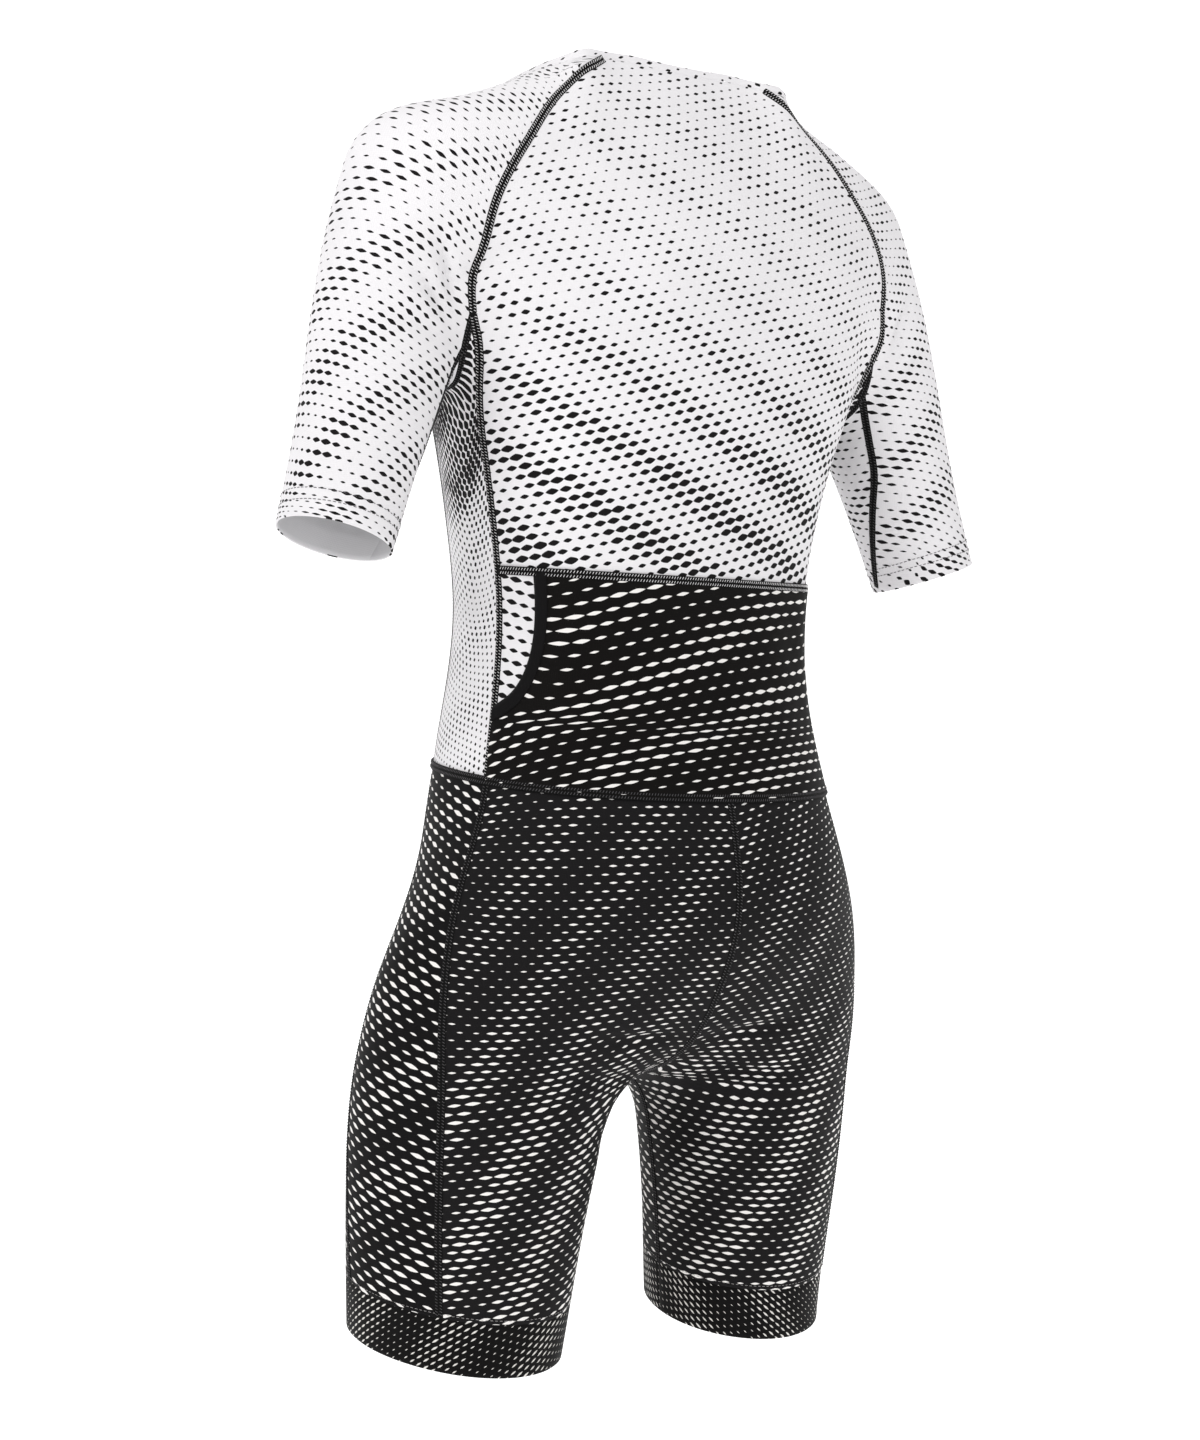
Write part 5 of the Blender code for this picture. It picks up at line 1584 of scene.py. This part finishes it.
# A tooth reaches over the centre line, from a quarter of its reach behind it
TOOTH_PITCH, TOOTH_REACH, TOOTH_HEEL, TOOTH_RADIUS = 0.00125, 0.0019, 0.25, 0.00042
COIL_LIFT, COIL_END = 0.0006, 0.002
zip_top = float(curves(NECK)["height"](180)) + COLLAR_HEIGHT
zip_bottom = float(seams["zip_edge"].points[-1, 2])
heights = np.linspace(zip_top, zip_bottom, DOWN_ZIP * FINER)
across = np.linspace(ZIP_WIDTH, -ZIP_WIDTH, ACROSS_ZIP + 1) * ZIP_REACH
grid = np.stack([centre_front(x, heights) for x in across], axis=1)
down = -np.linspace(0, zip_top - zip_bottom, len(heights))
flat = strip_cut(np.linspace(0, ZIP_WIDTH, ACROSS_ZIP + 1), down)
tape = shell("zip_tape", grid, flat, (black_tape, black_tape), ZIP_CLOTH, -ZIP_SINK)
stand_for(tape, "zip")
# Nylon monofilament: smoother and glossier than thread
nylon = thread("black_nylon_coil", "#161617", 0.3, 0.5)
tooth_heights = np.arange(zip_bottom + TOOTH_PITCH, zip_top - COIL_END, TOOTH_PITCH / 2)
middles = centre_front(0, tooth_heights)
normals = outwards(middles)
hands = np.where(np.arange(len(middles)) % 2, 1.0, -1.0)[:, None] * np.array((1.0, 0, 0))
lifted = middles + (COIL_LIFT + relief(middles))[:, None] * normals
heels, tips = lifted - TOOTH_HEEL * TOOTH_REACH * hands, lifted + TOOTH_REACH * hands
threads("zip_coil", heels, tips, normals, TOOTH_RADIUS, nylon)
# Stoved lacquer on die-cast zinc: satin black, with an orange peel of 1.4 mm and 0.1 mm deep, drawn
# deeper than the real one, and rubbed smoother in patches
PEELS_IN_A_METRE, PEEL_DEPTH = 700.0, 0.0001
lacquer, tree, shader = new_look("black_lacquered_zinc")
place = add(tree, "TexCoord", {}, {}, "Object")
noise = {"Vector": place, "Scale": PEELS_IN_A_METRE, "Detail": 2.0}
peel = add(tree, "TexNoise", {}, noise, "Fac")
rubbed = add(tree, "MapRange", {}, {"Value": peel, "To Min": 0.28, "To Max": 0.42})
bump = add(tree, "Bump", {}, {"Height": peel, "Strength": 0.2, "Distance": PEEL_DEPTH})
feed(tree, shader, {"Base Color": linear("#1b1b1d"), "Coat Weight": 0.4})
feed(tree, shader, {"Roughness": rubbed, "Normal": bump})
for name in ("zip_slider", "zip_pull"):
    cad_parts[name].data.materials.clear()
    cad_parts[name].data.materials.append(lacquer)

# ---------------------------------------------------------------- studio
# A plain pale floor that curves up into a backdrop, soft light from both sides and above, and a
# camera behind the wearer's left shoulder.

FLOOR_HEIGHT, PAPER_HALF_WIDTH = -1.30, 12
# The paper from the camera's side to the backdrop's top edge
SWEEP = (
    ("out", "up"),
    (-6.0, 0),
    (3.0, 0),
    (3.6, 0.08),
    (4.1, 0.3),
    (4.5, 0.7),
    (4.75, 1.3),
    (4.8, 6.0),
)
# Turns are in degrees from straight behind the suit, towards its left, and rises from the level
CAMERA_TURN, CAMERA_RISE, CAMERA_ROLL = 36.79, 1.253, 1.54
CAMERA_AWAY, CAMERA_TARGET = 2.0562, np.array((0, 0, -0.5064))
LENS, SENSOR_WIDTH = 69.0, 36.0
SHIFT_ACROSS, SHIFT_UP = -0.01458, 0.0312


def direction(turned, raised):
    """The way from the suit at that turn and rise."""
    a, b = math.radians(turned), math.radians(raised)
    return np.array((math.sin(a) * math.cos(b), math.cos(a) * math.cos(b), math.sin(b)))


back_way = direction(CAMERA_TURN, CAMERA_RISE)
away = -direction(CAMERA_TURN, 0)
aside = np.array((away[1], -away[0], 0))
points = []
for out, up in SWEEP[1:]:
    for wide in (-PAPER_HALF_WIDTH, PAPER_HALF_WIDTH):
        points.append(out * away + wide * aside + np.array((0, 0, FLOOR_HEIGHT + up)))
faces = [(2 * i, 2 * i + 1, 2 * i + 3, 2 * i + 2) for i in range(len(points) // 2 - 1)]
# Matt white paper. It gives off a little light, as if it had lamps of its own, and stays pale
paper, tree, shader = new_look("white_studio_paper")
feed(tree, shader, {"Base Color": linear("#f8f8f8"), "Roughness": 0.9, "Specular IOR Level": 0.1})
feed(tree, shader, {"Emission Color": linear("#ffffff"), "Emission Strength": 0.5})
floor = made("studio_floor", points, faces, (paper,))

world = bpy.data.worlds.new("studio")
bpy.context.scene.world = world
world.use_nodes = True
sky = world.node_tree.nodes["Background"]
feed(world.node_tree, sky, {"Color": linear("#ffffff"), "Strength": 0.5})
bpy.context.scene.view_settings.view_transform = "Standard"
LIGHTS = (
    ("name", "turn", "rise", "away", "size", "power"),
    ("key_light", 78, 32, 3.2, 1.8, 37),
    ("fill_light", -15, 15, 3.4, 2.4, 17),
    ("top_light", 30, 75, 3.0, 2.5, 24),
)
for name, turned, raised, how_far, size, power in LIGHTS[1:]:
    light = bpy.data.lights.new(name, "AREA")
    light.energy, light.size = power, size
    lamp = bpy.data.objects.new(name, light)
    bpy.context.scene.collection.objects.link(lamp)
    way = direction(turned, raised)
    lamp.location = CAMERA_TARGET + way * how_far
    lamp.rotation_mode = "QUATERNION"
    lamp.rotation_quaternion = Vector(-way).to_track_quat("-Z", "Y")

camera = bpy.data.objects.new("camera", bpy.data.cameras.new("camera"))
bpy.context.scene.collection.objects.link(camera)
bpy.context.scene.camera = camera
up_way = np.cross(back_way, aside)
roll = math.radians(CAMERA_ROLL)
right = math.cos(roll) * aside + math.sin(roll) * up_way
up = math.cos(roll) * up_way - math.sin(roll) * aside
spot = CAMERA_TARGET + CAMERA_AWAY * back_way
rows = [[right[i], up[i], back_way[i], spot[i]] for i in range(3)] + [[0, 0, 0, 1]]
camera.matrix_world = Matrix(rows)
camera.data.lens, camera.data.sensor_width = LENS, SENSOR_WIDTH
camera.data.shift_x, camera.data.shift_y = SHIFT_ACROSS, SHIFT_UP
